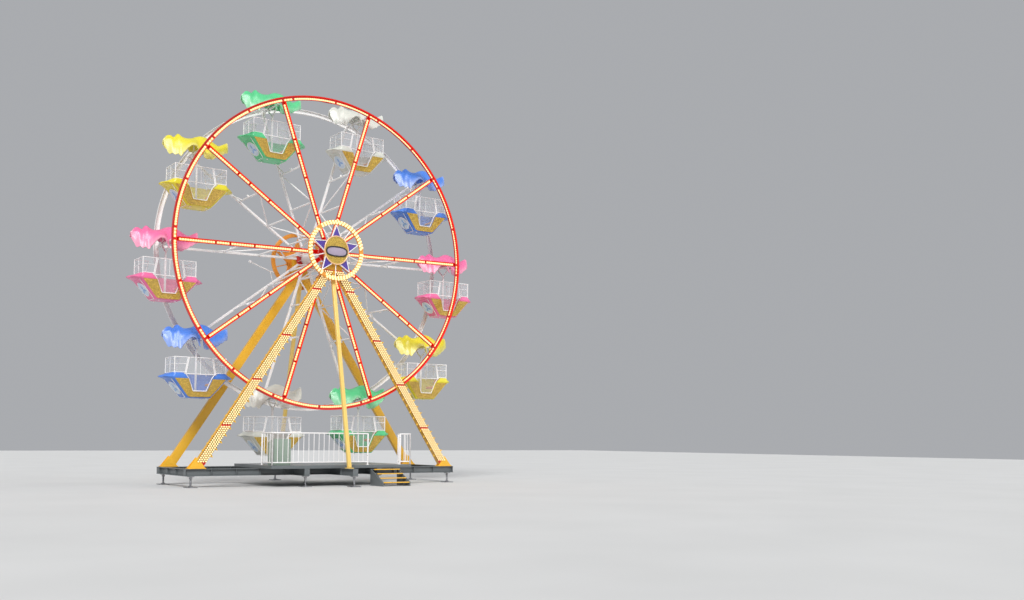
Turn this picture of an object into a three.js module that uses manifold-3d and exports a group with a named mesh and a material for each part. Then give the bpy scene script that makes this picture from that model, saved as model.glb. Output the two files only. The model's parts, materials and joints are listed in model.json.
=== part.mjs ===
// A travelling fairground ferris wheel with ten level cabins.
// Millimetres, +Z up. X runs across the wheel's face, and the axle lies along Y.
// The front of the ride is at -Y. The origin is on the ground below the axle.

import * as THREE from "three";
import { mergeVertices } from "three/addons/utils/BufferGeometryUtils.js";
import { ConvexGeometry } from "three/addons/geometries/ConvexGeometry.js";
import Module from "manifold-3d";

const wasm = await Module();
wasm.setup();

// Driving dimensions of the wheel
const AXLE_HEIGHT = 9000;
const PIVOT_RADIUS = 6000;
const CABINS = 10;
const FIRST_SPOKE_ANGLE = 145.4; // degrees from +X, seen from the front, at rest
const FRAME_HALF_GAP = 1000; // from the middle plane to each rim and chord line
const FIT_GAP = 0.3; // between solids that meet
const OVERCUT = 100; // how far a cut runs past the solid it cuts
const LAP = 10; // how far a bar runs into the solid it ends on

const RIM_INNER = 5960;
const RIM_DEPTH = 180;
const RIM_WIDTH = 80;
const RIM_SIDES = 70;

const FRONT_CHORD_ACROSS = 160; // wide enough to carry the lamp strip
const REAR_CHORD_ACROSS = 100;
const CHORD_DEEP = 90;
const RUNG_PLACES = [0.15, 0.34, 0.58]; // as shares of the pivot radius
const RUNG_SIZE = 60;
const DIAGONAL_SIZE = 46;
const DIAGONAL_START = 40; // from the hub's flange
const KNEE_REACH = 340;
const AXLE_SEAT_THICK = 60;
const AXLE_SEAT_INWARD = 180; // from the rim's inner face
const AXLE_SEAT_OUTWARD = 60; // from the pivot

const HUB_SIDES = 20;
const HUB_FLANGE_RADIUS = 400;
const HUB_DRUM_RADIUS = 220;
const SHAFT_RADIUS = 90;
const SHAFT_HALF_LENGTH = 1545;

// Driving dimensions of a cabin, from its pivot
const AXLE_RADIUS = 45;
const AXLE_SIDES = 12;
const BEARING_RADIUS = 75;
const BEARING_PLACE = 350;
const BEARING_LENGTH = 90;
const FORK_SIZE = 60;
const FORK_JOIN = -350;
const POST_RADIUS = 45;
const POST_SIDES = 6;
const POST_FOOT_RADIUS = 140;
const POST_FOOT_THICK = 20;
const CANOPY_HALF_WIDTH = 600;
const CANOPY_TAPER = 0.62; // share of its width that a canopy loses at its right end
const CANOPY_FAR_SHARE = 0.5; // droop of the rear side, as a share of the front side's
const CANOPY_THICK = 34;
const CANOPY_RAKE = 60; // how far the hem draws in from the right tip
const AXLE_SLOT_HALF = 60;
const SEAT_BLOCK_WIDE = 36;
const SEAT_BLOCK_LONG = 80;
const TUB_BOTTOM = -2150;
const TUB_WALL = 40;
const TUB_REACH = 1200; // more than the tub's half length
const COLLAR_TOP = -1250;
const END_SHARE = 0.8; // width of the tub's end face, as a share of its width
const SIDE_SHARE = 0.92; // length of its side, as a share of its length
const BENCH_TOP = -1700;
const BENCH_FRONT = 470;
const DOOR_SILL = -1990;
const DOOR_SILL_HALF = 270;
const DOOR_WAIST = -1450;
const DOOR_WAIST_HALF = 440;
const DOOR_TOP_HALF = 700;
const DOOR_BACK = -370;
const SCREEN_TOP = -670;
const SCREEN_THICK = 24;
const SCREEN_END = 970;
const SCREEN_SIDE = 480;
const SCREEN_RETURN = 450;
const SCREEN_SLOPE = 110;
const SCREEN_LAP = 60; // below the top of the collar

// The canopy along its length: place, height of the crest, and how far the front hem droops.
const canopyStations = [
  [-1270, 200, 150],
  [-1130, 360, 620],
  [-1010, 390, 680],
  [-880, 350, 670],
  [-760, 500, 860],
  [-640, 430, 660],
  [-500, 380, 420],
  [-240, 420, 380],
  [-80, 500, 760],
  [0, 524, 830],
  [120, 560, 920],
  [360, 520, 880],
  [580, 390, 640],
  [780, 310, 430],
  [960, 380, 400],
  [1140, 480, 420],
];

// The tub at each level: height, half length, half width, and where its ends run to a point.
const hullLevels = [
  [TUB_BOTTOM, 460, 400],
  [-1440, 1060, 545],
];
const collarLevels = [
  [-1480, 1030, 535],
  [-1400, 1090, 560, 1390],
  [COLLAR_TOP, 1010, 540],
];
const hollowLevels = [
  [TUB_BOTTOM, 484, 405],
  [-1440, 1050, 545],
  [COLLAR_TOP + 20, 1005, 535],
];

// Driving dimensions of the towers and the base
const TOWER_PLACE = 1450;
const TOWER_DEEP = 200;
const LEG_WIDE = 320;
const LEG_FOOT_X = 5190;
const LEG_MEET_Z = 8540;
const LEG_OVERRUN = 200; // below the foot plate, before it is cut level
const FOOT_PLATE_HALF = 330;
const FOOT_PLATE_LIP = 30;
const FOOT_PLATE_THICK = 30;
const HEAD_HALF = 350;
const HEAD_BELOW = 900;
const HEAD_SHOULDER = 200;
const STRUT_SIZE = 140;
const STRUT_TOP_Z = 8100;
const STRUT_FOOT_Y = 3100;
const STRUT_PLATE_X = 110;
const STRUT_PLATE_Y = 150;
const BASE_TOP = 660;
const BASE_DEEP = 260;
const BEAM_WIDE = 220;
const BASE_HALF_LENGTH = 5600;
const OUTRIGGER_END = 3600;
const CROSS_BEAM_X = 1500;
const PAD_SIZE = 380;
const PAD_THICK = 30;
const JACK_HALF = 45;
const CORNER_JACK_INSET = 120;
const OUTRIGGER_JACK_INSET = 110;
const DECK_JACK_INSET = 150;
const DECK_TOP = 780;
const DECK_HALF_LENGTH = 2900;
const DECK_FRONT = -2700;
const DECK_BACK = 750;
const STEPS_X = 1100;
const STEPS_WIDE = 1200;
const STEP_COUNT = 4;
const STEP_DEEP = 240;
const STEP_PLATE = 40;

// Driving dimensions of the railings and the control desk
const RAIL_HEIGHT = 1200;
const RAIL_INSET = 40;
const RAIL_BACK = -1750;
const RAIL_TO_STEPS = 100;
const RAIL_POST = 60;
const HANDRAIL_SIZE = 50;
const LOW_RAIL_SIZE = 40;
const LOW_RAIL_PLACE = 90;
const PICKET_SIZE = 26;
const PICKET_PITCH = 200;
const DESK_X = -2780;
const DESK_WIDE = 680;
const DESK_DEEP = 480;
const DESK_TALL = 960;
const DESK_BACK_TALL = 820;
const DESK_SHELF = 120;
const DESK_INSET = 90;

// Driving dimensions of the two ornament rings
const RING_PLACE = 1694;
const RING_RADIUS = 1090;
const RING_ACROSS = 170;
const RING_THICK = 90;
const RING_SIDES = 36;
const STAR_POINTS = 5;
const STAR_TIP = 1040;
const STAR_NOTCH = 430;
const STAR_THICK = 60;
const RING_ARM_SIZE = 40;
const DISC_RADIUS = 560;
const DISC_SIDES = 20;
const DISC_THICK = 60;
const BOSS_RADIUS = 200;
const BOSS_SIDES = 12;

const radians = THREE.MathUtils.degToRad;
const vec = (x, y, z) => new THREE.Vector3(x, y, z);

// A closed geometry as a manifold solid, with its faces turned outwards.
function solid(geometry) {
  const bare = geometry.clone();
  bare.deleteAttribute("normal");
  bare.deleteAttribute("uv");
  const merged = mergeVertices(bare, 1e-3);
  const vertProperties = merged.attributes.position.array;
  const triVerts = new Uint32Array(merged.index.array);
  const made = new wasm.Manifold(new wasm.Mesh({ numProp: 3, vertProperties, triVerts }));
  if (made.volume() > 0) return made;
  const turned = triVerts.map((v, i) => triVerts[i + [0, 1, -1][i % 3]]);
  return new wasm.Manifold(new wasm.Mesh({ numProp: 3, vertProperties, triVerts: turned }));
}

const join = (...solids) => solids.flat().reduce((a, b) => a.add(b));

// A solid as a flat-shaded geometry.
function geometryOf(made) {
  const mesh = made.getMesh();
  const geometry = new THREE.BufferGeometry();
  geometry.setAttribute("position", new THREE.BufferAttribute(mesh.vertProperties, 3));
  geometry.setIndex(new THREE.BufferAttribute(mesh.triVerts, 1));
  const flat = geometry.toNonIndexed();
  flat.computeVertexNormals();
  return flat;
}

// A box from its lowest to its highest corner.
function box(x0, x1, y0, y1, z0, z1) {
  const geometry = new THREE.BoxGeometry(x1 - x0, y1 - y0, z1 - z0);
  return solid(geometry.translate((x0 + x1) / 2, (y0 + y1) / 2, (z0 + z1) / 2));
}

// A straight bar between two points, with one side of its section along a given direction.
function bar(from, to, alongSide, across, side) {
  const way = to.clone().sub(from);
  const length = way.length();
  way.normalize();
  const first = side.clone().addScaledVector(way, -side.dot(way)).normalize();
  const second = way.clone().cross(first);
  const place = new THREE.Matrix4().makeBasis(way, first, second);
  place.setPosition(from.clone().add(to).multiplyScalar(0.5));
  return solid(new THREE.BoxGeometry(length, alongSide, across).applyMatrix4(place));
}

// A prism around a line along Y, with its first corner turned from +Z towards +X.
function drum(radius, sides, y0, y1, turn = 0, x = 0, z = 0) {
  const geometry = new THREE.CylinderGeometry(radius, radius, y1 - y0, sides, 1, false, turn);
  return solid(geometry.translate(x, (y0 + y1) / 2, z));
}

// An upright prism.
function post(radius, sides, x, y, z0, z1) {
  const geometry = new THREE.CylinderGeometry(radius, radius, z1 - z0, sides);
  return solid(geometry.rotateX(Math.PI / 2).translate(x, y, (z0 + z1) / 2));
}

// A ring of rectangular section around the Y axis, measured across the flats of its sides.
function ring(inner, outer, y0, y1, sides, turn) {
  const grow = 1 / Math.cos(Math.PI / sides);
  const corners = [
    [inner * grow, y0],
    [outer * grow, y0],
    [outer * grow, y1],
    [inner * grow, y1],
    [inner * grow, y0],
  ];
  const profile = corners.map(([r, y]) => new THREE.Vector2(r, y));
  return solid(new THREE.LatheGeometry(profile, sides, turn));
}

// A flat outline in the XZ plane, made into a plate between two values of Y.
function plate(outline, y0, y1) {
  const shape = new THREE.Shape(outline.map(([x, z]) => new THREE.Vector2(x, z)));
  const geometry = new THREE.ExtrudeGeometry(shape, { depth: y1 - y0, bevelEnabled: false });
  return solid(geometry.rotateX(Math.PI / 2).translate(0, y1, 0));
}

const hull = (points) => solid(new ConvexGeometry(points.map(([x, y, z]) => vec(x, y, z))));

const spokeAngles = Array.from({ length: CABINS }, (_, i) => FIRST_SPOKE_ANGLE - (360 / CABINS) * i);

// The rim's flats and the hub's flats face the spokes.
const turnToSpoke = (sides) => radians(90 - FIRST_SPOKE_ANGLE) + Math.PI / sides;

function rim(side) {
  const y = side * FRAME_HALF_GAP;
  const outer = RIM_INNER + RIM_DEPTH;
  return ring(RIM_INNER, outer, y - RIM_WIDTH / 2, y + RIM_WIDTH / 2, RIM_SIDES, turnToSpoke(RIM_SIDES));
}

// A hub drum with a flange in each chord plane, on the turning shaft.
function hub() {
  const grow = 1 / Math.cos(Math.PI / HUB_SIDES);
  const turn = turnToSpoke(HUB_SIDES);
  const flange = (y) =>
    drum(HUB_FLANGE_RADIUS * grow, HUB_SIDES, y - CHORD_DEEP / 2, y + CHORD_DEEP / 2, turn);
  return join(
    drum(SHAFT_RADIUS, HUB_SIDES, -SHAFT_HALF_LENGTH, SHAFT_HALF_LENGTH, turn),
    drum(HUB_DRUM_RADIUS, HUB_SIDES, -FRAME_HALF_GAP, FRAME_HALF_GAP, turn),
    flange(-FRAME_HALF_GAP),
    flange(FRAME_HALF_GAP),
  );
}

// One spoke: a flat ladder frame along +X, with the cabin's axle between its outer ends.
function spokeFrame(angle, lean) {
  const start = HUB_FLANGE_RADIUS + FIT_GAP;
  const end = RIM_INNER - FIT_GAP;
  const reach = FRAME_HALF_GAP - RIM_WIDTH / 2 - FIT_GAP;
  const deep = CHORD_DEEP / 2;
  const seatHalf = REAR_CHORD_ACROSS / 2;
  const rungHalf = RUNG_SIZE / 2;
  const chord = (side) => {
    const y = side * FRAME_HALF_GAP;
    const half = (side < 0 ? FRONT_CHORD_ACROSS : REAR_CHORD_ACROSS) / 2;
    return box(start, end, y - deep, y + deep, -half, half);
  };
  const seat = (side) => {
    const outside = side * reach;
    const inside = outside - side * AXLE_SEAT_THICK;
    const low = Math.min(inside, outside);
    const high = Math.max(inside, outside);
    return box(end - AXLE_SEAT_INWARD, PIVOT_RADIUS + AXLE_SEAT_OUTWARD, low, high, -seatHalf, seatHalf);
  };
  const rungs = RUNG_PLACES.map((share) => share * PIVOT_RADIUS);
  const rung = (x) =>
    box(x - rungHalf, x + rungHalf, -FRAME_HALF_GAP, FRAME_HALF_GAP, -rungHalf, rungHalf);
  const lines = [start + DIAGONAL_START, ...rungs];
  const brace = (from, to) => bar(from, to, DIAGONAL_SIZE, DIAGONAL_SIZE, vec(0, 0, 1));
  const diagonal = (i) => {
    const side = lean * (i % 2 ? -1 : 1);
    return brace(vec(lines[i], -side * FRAME_HALF_GAP, 0), vec(lines[i + 1], side * FRAME_HALF_GAP, 0));
  };
  const outerRung = rungs.at(-1);
  const knee = (side) => {
    const from = vec(outerRung, side * (FRAME_HALF_GAP - KNEE_REACH), 0);
    return brace(from, vec(outerRung + KNEE_REACH, side * FRAME_HALF_GAP, 0));
  };
  return join(
    [-1, 1].map(chord),
    rungs.map(rung),
    RUNG_PLACES.map((_, i) => diagonal(i)),
    [-1, 1].map(knee),
    [-1, 1].map(seat),
    drum(AXLE_RADIUS, AXLE_SIDES, -reach, reach, radians(angle), PIVOT_RADIUS, 0),
  );
}

// The cabin's hanger: two bearings on the axle, a fork, and the middle post down to the floor.
function hanger() {
  const turn = Math.PI / AXLE_SIDES;
  const grow = 1 / Math.cos(turn);
  const halfLength = BEARING_LENGTH / 2;
  const bearing = (side) => {
    const y = side * BEARING_PLACE;
    return drum(BEARING_RADIUS * grow, AXLE_SIDES, y - halfLength, y + halfLength, turn);
  };
  const arm = (side) => {
    const top = vec(0, side * BEARING_PLACE, LAP - BEARING_RADIUS);
    return bar(top, vec(0, 0, FORK_JOIN), FORK_SIZE, FORK_SIZE, vec(1, 0, 0));
  };
  const floor = TUB_BOTTOM + TUB_WALL + FIT_GAP;
  const boreRadius = (AXLE_RADIUS + FIT_GAP) * grow;
  const bore = drum(boreRadius, AXLE_SIDES, -FRAME_HALF_GAP, FRAME_HALF_GAP, turn);
  return join(
    [-1, 1].map(bearing),
    [-1, 1].map(arm),
    post(POST_RADIUS, POST_SIDES, 0, 0, floor, FORK_JOIN + FORK_SIZE / 2),
    post(POST_FOOT_RADIUS, POST_SIDES, 0, 0, floor, floor + POST_FOOT_THICK),
  ).subtract(bore);
}

const canopyReach = canopyStations.at(-1)[0];
const canopyWidth = (s) => CANOPY_HALF_WIDTH * (1 - CANOPY_TAPER * Math.abs(s) ** 3);
const canopyHeight = (crest, droop, across) =>
  crest - (across > 0 ? CANOPY_FAR_SHARE : 1) * droop * across * across;

// A ruffled leaf with two drooping lobes and both tips raised, slotted over the axle.
function canopy() {
  const columns = canopyStations.length - 1;
  const geometry = new THREE.BoxGeometry(columns, 2, CANOPY_THICK, columns, 4, 1);
  const position = geometry.attributes.position;
  for (let i = 0; i < position.count; i += 1) {
    const [x, crest, droop] = canopyStations[Math.round(position.getX(i) + columns / 2)];
    const across = position.getY(i);
    const s = x / canopyReach;
    const rake = CANOPY_RAKE * Math.max(0, s) ** 3 * across * across;
    const height = canopyHeight(crest, droop, across) + position.getZ(i);
    position.setXYZ(i, x - rake, across * canopyWidth(s), height);
  }
  // The underside's quads are split along the same diagonals as the top's, so the two stay parallel.
  const under = geometry.groups.at(-1);
  for (let i = under.start; i < under.start + under.count; i += 6) {
    const [a, b, d, , c] = geometry.index.array.slice(i, i + 6);
    geometry.index.array.set([a, b, c, a, c, d], i);
  }
  const shell = solid(geometry);
  const slotEnd = -CANOPY_HALF_WIDTH - OVERCUT;
  const slot = box(-AXLE_SLOT_HALF, AXLE_SLOT_HALF, slotEnd, 0, slotEnd, AXLE_SLOT_HALF);
  const [, crest, droop] = canopyStations.find(([x]) => x === 0);
  const seatZ = BEARING_RADIUS + FIT_GAP;
  // Each block's top slopes with the facet of the shell that it meets.
  const block = (side) => {
    const inner = canopyHeight(crest, droop, side / 2);
    const outer = canopyHeight(crest, droop, side);
    const corners = [-1, 1].flatMap((end) => {
      const y = BEARING_PLACE + (end * SEAT_BLOCK_LONG) / 2;
      const top = inner + (outer - inner) * (2 * (y / CANOPY_HALF_WIDTH) - 1);
      return [-1, 1].flatMap((hand) => {
        const x = (hand * SEAT_BLOCK_WIDE) / 2;
        return [[x, side * y, seatZ], [x, side * y, top]];
      });
    });
    return hull(corners);
  };
  return join(shell.subtract(slot), [-1, 1].map(block));
}

// The corners of the tub at one level.
function tubLevel(z, long, wide, nose = long) {
  const corner = [
    [long, END_SHARE * wide],
    [SIDE_SHARE * long, wide],
  ];
  const all = corner.flatMap(([x, y]) => [
    [x, y, z],
    [x, -y, z],
    [-x, y, z],
    [-x, -y, z],
  ]);
  return nose > long ? [...all, [nose, 0, z], [-nose, 0, z]] : all;
}

// A boat-shaped tub with a raised collar, two benches, an open front and two wrap-round screens.
function tub() {
  const through = (levels) => hull(levels.flatMap((level) => tubLevel(...level)));
  const outside = join(through(hullLevels), through(collarLevels));
  // The hollow is drawn in by the wall at its sides, and only its lowest level is raised.
  const inside = (inset) => {
    const drawnIn = ([z, long, wide], i) => [i ? z : z + inset, long - inset, wide - inset];
    return through(hollowLevels.map(drawnIn));
  };
  const bench = (side) => {
    const x = side * BENCH_FRONT;
    const end = side * TUB_REACH;
    const block = box(Math.min(x, end), Math.max(x, end), -TUB_REACH, TUB_REACH, TUB_BOTTOM, BENCH_TOP);
    return block.intersect(inside(TUB_WALL / 2));
  };
  const doorTop = COLLAR_TOP + TUB_WALL;
  const doorSide = [
    [DOOR_SILL_HALF, DOOR_SILL],
    [DOOR_WAIST_HALF, DOOR_WAIST],
    [DOOR_TOP_HALF, doorTop],
  ];
  const doorway = [...doorSide, ...doorSide.map(([x, z]) => [-x, z]).reverse()];
  const door = plate(doorway, -TUB_REACH, DOOR_BACK);
  const screenFoot = COLLAR_TOP - SCREEN_LAP;
  const end = (side) => {
    const x = side * SCREEN_END;
    const low = Math.min(x, x - side * SCREEN_THICK);
    return box(low, low + SCREEN_THICK, -SCREEN_SIDE, SCREEN_SIDE, screenFoot, SCREEN_TOP);
  };
  const wing = (sideX, sideY) => {
    const outline = [
      [sideX * SCREEN_END, screenFoot],
      [sideX * (SCREEN_RETURN + SCREEN_SLOPE), screenFoot],
      [sideX * SCREEN_RETURN, SCREEN_TOP],
      [sideX * SCREEN_END, SCREEN_TOP],
    ];
    const y = sideY * SCREEN_SIDE;
    const far = y + sideY * SCREEN_THICK;
    return plate(outline, Math.min(y, far), Math.max(y, far));
  };
  const screens = [-1, 1].flatMap((sideX) => [end(sideX), wing(sideX, -1), wing(sideX, 1)]);
  const shell = join(outside.subtract(inside(TUB_WALL)), [-1, 1].map(bench)).subtract(door);
  return join(shell, screens);
}

// A planar A-frame tower with its bearing head, and the strut that leans out from its top.
function tower(side) {
  const y = side * TOWER_PLACE;
  const low = y - TOWER_DEEP / 2;
  const high = y + TOWER_DEEP / 2;
  const ground = BASE_TOP + FIT_GAP;
  const plateTop = ground + FOOT_PLATE_THICK;
  const slope = LEG_FOOT_X / (LEG_MEET_Z - BASE_TOP);
  const leg = (hand) => {
    const foot = vec(hand * (LEG_FOOT_X + slope * LEG_OVERRUN), y, BASE_TOP - LEG_OVERRUN);
    const top = vec(0, y, LEG_MEET_Z);
    return bar(foot, top, TOWER_DEEP, LEG_WIDE, vec(0, 1, 0));
  };
  const footPlate = (hand) => {
    const x = hand * LEG_FOOT_X;
    const lip = FOOT_PLATE_LIP;
    return box(x - FOOT_PLATE_HALF, x + FOOT_PLATE_HALF, low - lip, high + lip, ground, plateTop);
  };
  const strutY = side * STRUT_FOOT_Y;
  const strutTop = vec(0, y, STRUT_TOP_Z);
  const strut = bar(vec(0, strutY, BASE_TOP), strutTop, STRUT_SIZE, STRUT_SIZE, vec(1, 0, 0));
  const strutLow = strutY - STRUT_PLATE_Y;
  const strutHigh = strutY + STRUT_PLATE_Y;
  const strutPlate = box(-STRUT_PLATE_X, STRUT_PLATE_X, strutLow, strutHigh, ground, plateTop);
  const head = plate(
    [
      [-HEAD_HALF, AXLE_HEIGHT - HEAD_BELOW],
      [HEAD_HALF, AXLE_HEIGHT - HEAD_BELOW],
      [HEAD_HALF, AXLE_HEIGHT + HEAD_SHOULDER],
      [HEAD_SHOULDER, AXLE_HEIGHT + HEAD_HALF],
      [-HEAD_SHOULDER, AXLE_HEIGHT + HEAD_HALF],
      [-HEAD_HALF, AXLE_HEIGHT + HEAD_SHOULDER],
    ],
    low,
    high,
  );
  const boreRadius = (SHAFT_RADIUS + FIT_GAP) / Math.cos(Math.PI / HUB_SIDES);
  const boreTurn = turnToSpoke(HUB_SIDES) + Math.PI / HUB_SIDES;
  const bore = drum(boreRadius, HUB_SIDES, low - OVERCUT, high + OVERCUT, boreTurn, 0, AXLE_HEIGHT);
  const reach = BASE_HALF_LENGTH + OVERCUT;
  const below = box(-reach, reach, -OUTRIGGER_END, OUTRIGGER_END, -OVERCUT, ground);
  const legs = join([-1, 1].map(leg), strut).subtract(below);
  return join(legs, [-1, 1].map(footPlate), strutPlate, head).subtract(bore);
}

// An ornament ring with a five-pointed star, a disc and thin arms, on a boss on the tower's head.
function ornament(side) {
  const y = side * RING_PLACE;
  const half = RING_THICK / 2;
  const inner = RING_RADIUS - RING_ACROSS / 2;
  const outer = RING_RADIUS + RING_ACROSS / 2;
  const towerFace = side * (TOWER_PLACE + TOWER_DEEP / 2 + FIT_GAP);
  const discFace = y + side * DISC_THICK;
  const step = 360 / STAR_POINTS;
  const star = Array.from({ length: 2 * STAR_POINTS }, (_, i) => {
    const radius = i % 2 ? STAR_NOTCH : STAR_TIP;
    const angle = radians(90 + (step / 2) * i);
    return [radius * Math.cos(angle), radius * Math.sin(angle)];
  });
  const arm = (_, i) => {
    const angle = radians(90 - step / 2 + step * i);
    const way = vec(Math.cos(angle), 0, Math.sin(angle));
    const from = way.clone().multiplyScalar(BOSS_RADIUS).setY(y);
    const to = way.clone().multiplyScalar(inner + LAP).setY(y);
    return bar(from, to, RING_ARM_SIZE, RING_ARM_SIZE, vec(0, 1, 0));
  };
  const made = join(
    ring(inner, outer, y - half, y + half, RING_SIDES, 0),
    Array.from({ length: STAR_POINTS }, arm),
    plate(star, y - STAR_THICK / 2, y + STAR_THICK / 2),
    drum(DISC_RADIUS, DISC_SIDES, Math.min(y, discFace), Math.max(y, discFace)),
    drum(BOSS_RADIUS, BOSS_SIDES, Math.min(towerFace, y), Math.max(towerFace, y)),
  );
  return made.translate([0, 0, AXLE_HEIGHT]);
}

// The steel base: two long sills, cross beams, outriggers, and the levelling jacks it stands on.
function baseFrame() {
  const z0 = BASE_TOP - BASE_DEEP;
  const half = BEAM_WIDE / 2;
  const sill = (side) => {
    const y = side * TOWER_PLACE;
    return box(-BASE_HALF_LENGTH, BASE_HALF_LENGTH, y - half, y + half, z0, BASE_TOP);
  };
  const cross = (x, y0, y1) => box(x - half, x + half, y0, y1, z0, BASE_TOP);
  const endX = BASE_HALF_LENGTH - half;
  const crossBeams = [
    cross(-endX, -TOWER_PLACE, TOWER_PLACE),
    cross(endX, -TOWER_PLACE, TOWER_PLACE),
    cross(-CROSS_BEAM_X, DECK_FRONT, TOWER_PLACE),
    cross(CROSS_BEAM_X, DECK_FRONT, TOWER_PLACE),
    cross(0, -OUTRIGGER_END, OUTRIGGER_END),
  ];
  const cornerX = endX - CORNER_JACK_INSET;
  const outriggerY = OUTRIGGER_END - OUTRIGGER_JACK_INSET;
  const deckY = DECK_FRONT + DECK_JACK_INSET;
  const jackPlaces = [
    [-cornerX, -TOWER_PLACE],
    [cornerX, -TOWER_PLACE],
    [-cornerX, TOWER_PLACE],
    [cornerX, TOWER_PLACE],
    [0, -outriggerY],
    [0, outriggerY],
    [-CROSS_BEAM_X, deckY],
    [CROSS_BEAM_X, deckY],
  ];
  const jack = ([x, y]) => {
    const pad = PAD_SIZE / 2;
    return join(
      box(x - pad, x + pad, y - pad, y + pad, 0, PAD_THICK),
      box(x - JACK_HALF, x + JACK_HALF, y - JACK_HALF, y + JACK_HALF, PAD_THICK, z0),
    );
  };
  return join([-1, 1].map(sill), crossBeams, jackPlaces.map(jack));
}

const deck = () =>
  box(-DECK_HALF_LENGTH, DECK_HALF_LENGTH, DECK_FRONT, DECK_BACK, BASE_TOP + FIT_GAP, DECK_TOP);

// A flight of steps up to the front edge of the deck: two cheeks with treads between them.
function steps() {
  const rise = DECK_TOP / (STEP_COUNT + 1);
  const front = DECK_FRONT - FIT_GAP;
  const cheek = (x) => {
    const outline = [
      [0, 0],
      [-STEP_COUNT * STEP_DEEP, 0],
      [-STEP_COUNT * STEP_DEEP, rise],
      [0, STEP_COUNT * rise],
    ];
    const shape = new THREE.Shape(outline.map(([y, z]) => new THREE.Vector2(y, z)));
    const geometry = new THREE.ExtrudeGeometry(shape, { depth: STEP_PLATE, bevelEnabled: false });
    const turn = new THREE.Matrix4().makeBasis(vec(0, 1, 0), vec(0, 0, 1), vec(1, 0, 0));
    return solid(geometry.applyMatrix4(turn).translate(x, front, 0));
  };
  const low = STEPS_X + STEP_PLATE / 2;
  const high = STEPS_X + STEPS_WIDE - STEP_PLATE / 2;
  const tread = (_, i) => {
    const y1 = front - STEP_DEEP * i;
    const z1 = rise * (STEP_COUNT - i);
    return box(low, high, y1 - STEP_DEEP, y1, z1 - STEP_PLATE, z1);
  };
  const cheeks = [cheek(STEPS_X), cheek(STEPS_X + STEPS_WIDE - STEP_PLATE)];
  return join(cheeks, Array.from({ length: STEP_COUNT }, tread));
}

// A run of picket railing from one point of the deck to another, along X or along Y.
function railing(from, to) {
  const z0 = DECK_TOP + FIT_GAP;
  const z1 = DECK_TOP + RAIL_HEIGHT;
  const lowRail = z0 + LOW_RAIL_PLACE;
  const alongX = from.x !== to.x;
  const bays = Math.round(to.distanceTo(from) / PICKET_PITCH);
  const upright = (share, size, low, high) => {
    const at = from.clone().lerp(to, share);
    return box(at.x - size / 2, at.x + size / 2, at.y - size / 2, at.y + size / 2, low, high);
  };
  const rail = (z, size) => {
    const wide = alongX ? [0, size / 2] : [size / 2, 0];
    const lowX = Math.min(from.x, to.x) - wide[0];
    const lowY = Math.min(from.y, to.y) - wide[1];
    return box(lowX, Math.max(from.x, to.x) + wide[0], lowY, Math.max(from.y, to.y) + wide[1], z, z + size);
  };
  const picket = (_, i) =>
    upright((i + 1) / bays, PICKET_SIZE, lowRail + LAP, z1 - HANDRAIL_SIZE + LAP);
  return join(
    rail(lowRail, LOW_RAIL_SIZE),
    rail(z1 - HANDRAIL_SIZE, HANDRAIL_SIZE),
    Array.from({ length: bays - 1 }, picket),
    [0, 1].map((share) => upright(share, RAIL_POST, z0, z1)),
  );
}

const railFront = DECK_FRONT + RAIL_INSET;
const railSide = DECK_HALF_LENGTH - RAIL_INSET;

const leftRailing = () =>
  join(
    railing(vec(-railSide, railFront, 0), vec(STEPS_X - RAIL_TO_STEPS, railFront, 0)),
    railing(vec(-railSide, RAIL_BACK, 0), vec(-railSide, railFront, 0)),
  );

const rightRailing = () =>
  join(
    railing(vec(STEPS_X + STEPS_WIDE + RAIL_TO_STEPS, railFront, 0), vec(railSide, railFront, 0)),
    railing(vec(railSide, RAIL_BACK, 0), vec(railSide, railFront, 0)),
  );

// The operator's desk, with its sloping top.
function controlDesk() {
  const y0 = railFront + DESK_INSET;
  const z0 = DECK_TOP + FIT_GAP;
  const profile = [
    [y0, z0],
    [y0 + DESK_DEEP, z0],
    [y0, z0 + DESK_TALL],
    [y0 + DESK_SHELF, z0 + DESK_TALL],
    [y0 + DESK_DEEP, z0 + DESK_BACK_TALL],
  ];
  return hull(profile.flatMap(([y, z]) => [[DESK_X, y, z], [DESK_X + DESK_WIDE, y, z]]));
}

// Finishes
const finish = (color, roughness = 0.5, metalness = 0) =>
  new THREE.MeshStandardMaterial({ color, roughness, metalness });
const whiteSteel = finish(0xe9e6e4, 0.45);
const redChannel = finish(0xa81f1d, 0.45);
const yellowSteel = finish(0xe8a72c, 0.45);
const greySteel = finish(0x6f7476, 0.55, 0.3);
const deckPlate = finish(0x8f9496, 0.6, 0.6);
const goldTrim = finish(0xf1c34a, 0.35, 0.4);
const deskGreen = finish(0x8d9c90, 0.6);
const cabinColours = [0xe9df3f, 0x5fd08e, 0xe8ebe2, 0x5b8fe0, 0xf07aa6].map((c) => finish(c, 0.35));

const ferrisWheel = new THREE.Group();

function addTo(group, name, made, material) {
  const mesh = new THREE.Mesh(geometryOf(made), material);
  mesh.name = name;
  group.add(mesh);
  return mesh;
}

const label = (i) => String(i + 1).padStart(2, "0");

const wheel = new THREE.Group();
wheel.position.z = AXLE_HEIGHT;
ferrisWheel.add(wheel);
addTo(wheel, "hub", hub(), redChannel);
addTo(wheel, "front_rim", rim(-1), redChannel);
addTo(wheel, "rear_rim", rim(1), whiteSteel);
spokeAngles.forEach((angle, i) => {
  const lean = i % 2 ? 1 : -1;
  const mesh = addTo(wheel, `spoke_frame_${label(i)}`, spokeFrame(angle, lean), whiteSteel);
  mesh.rotation.y = -radians(angle);
});

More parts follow.
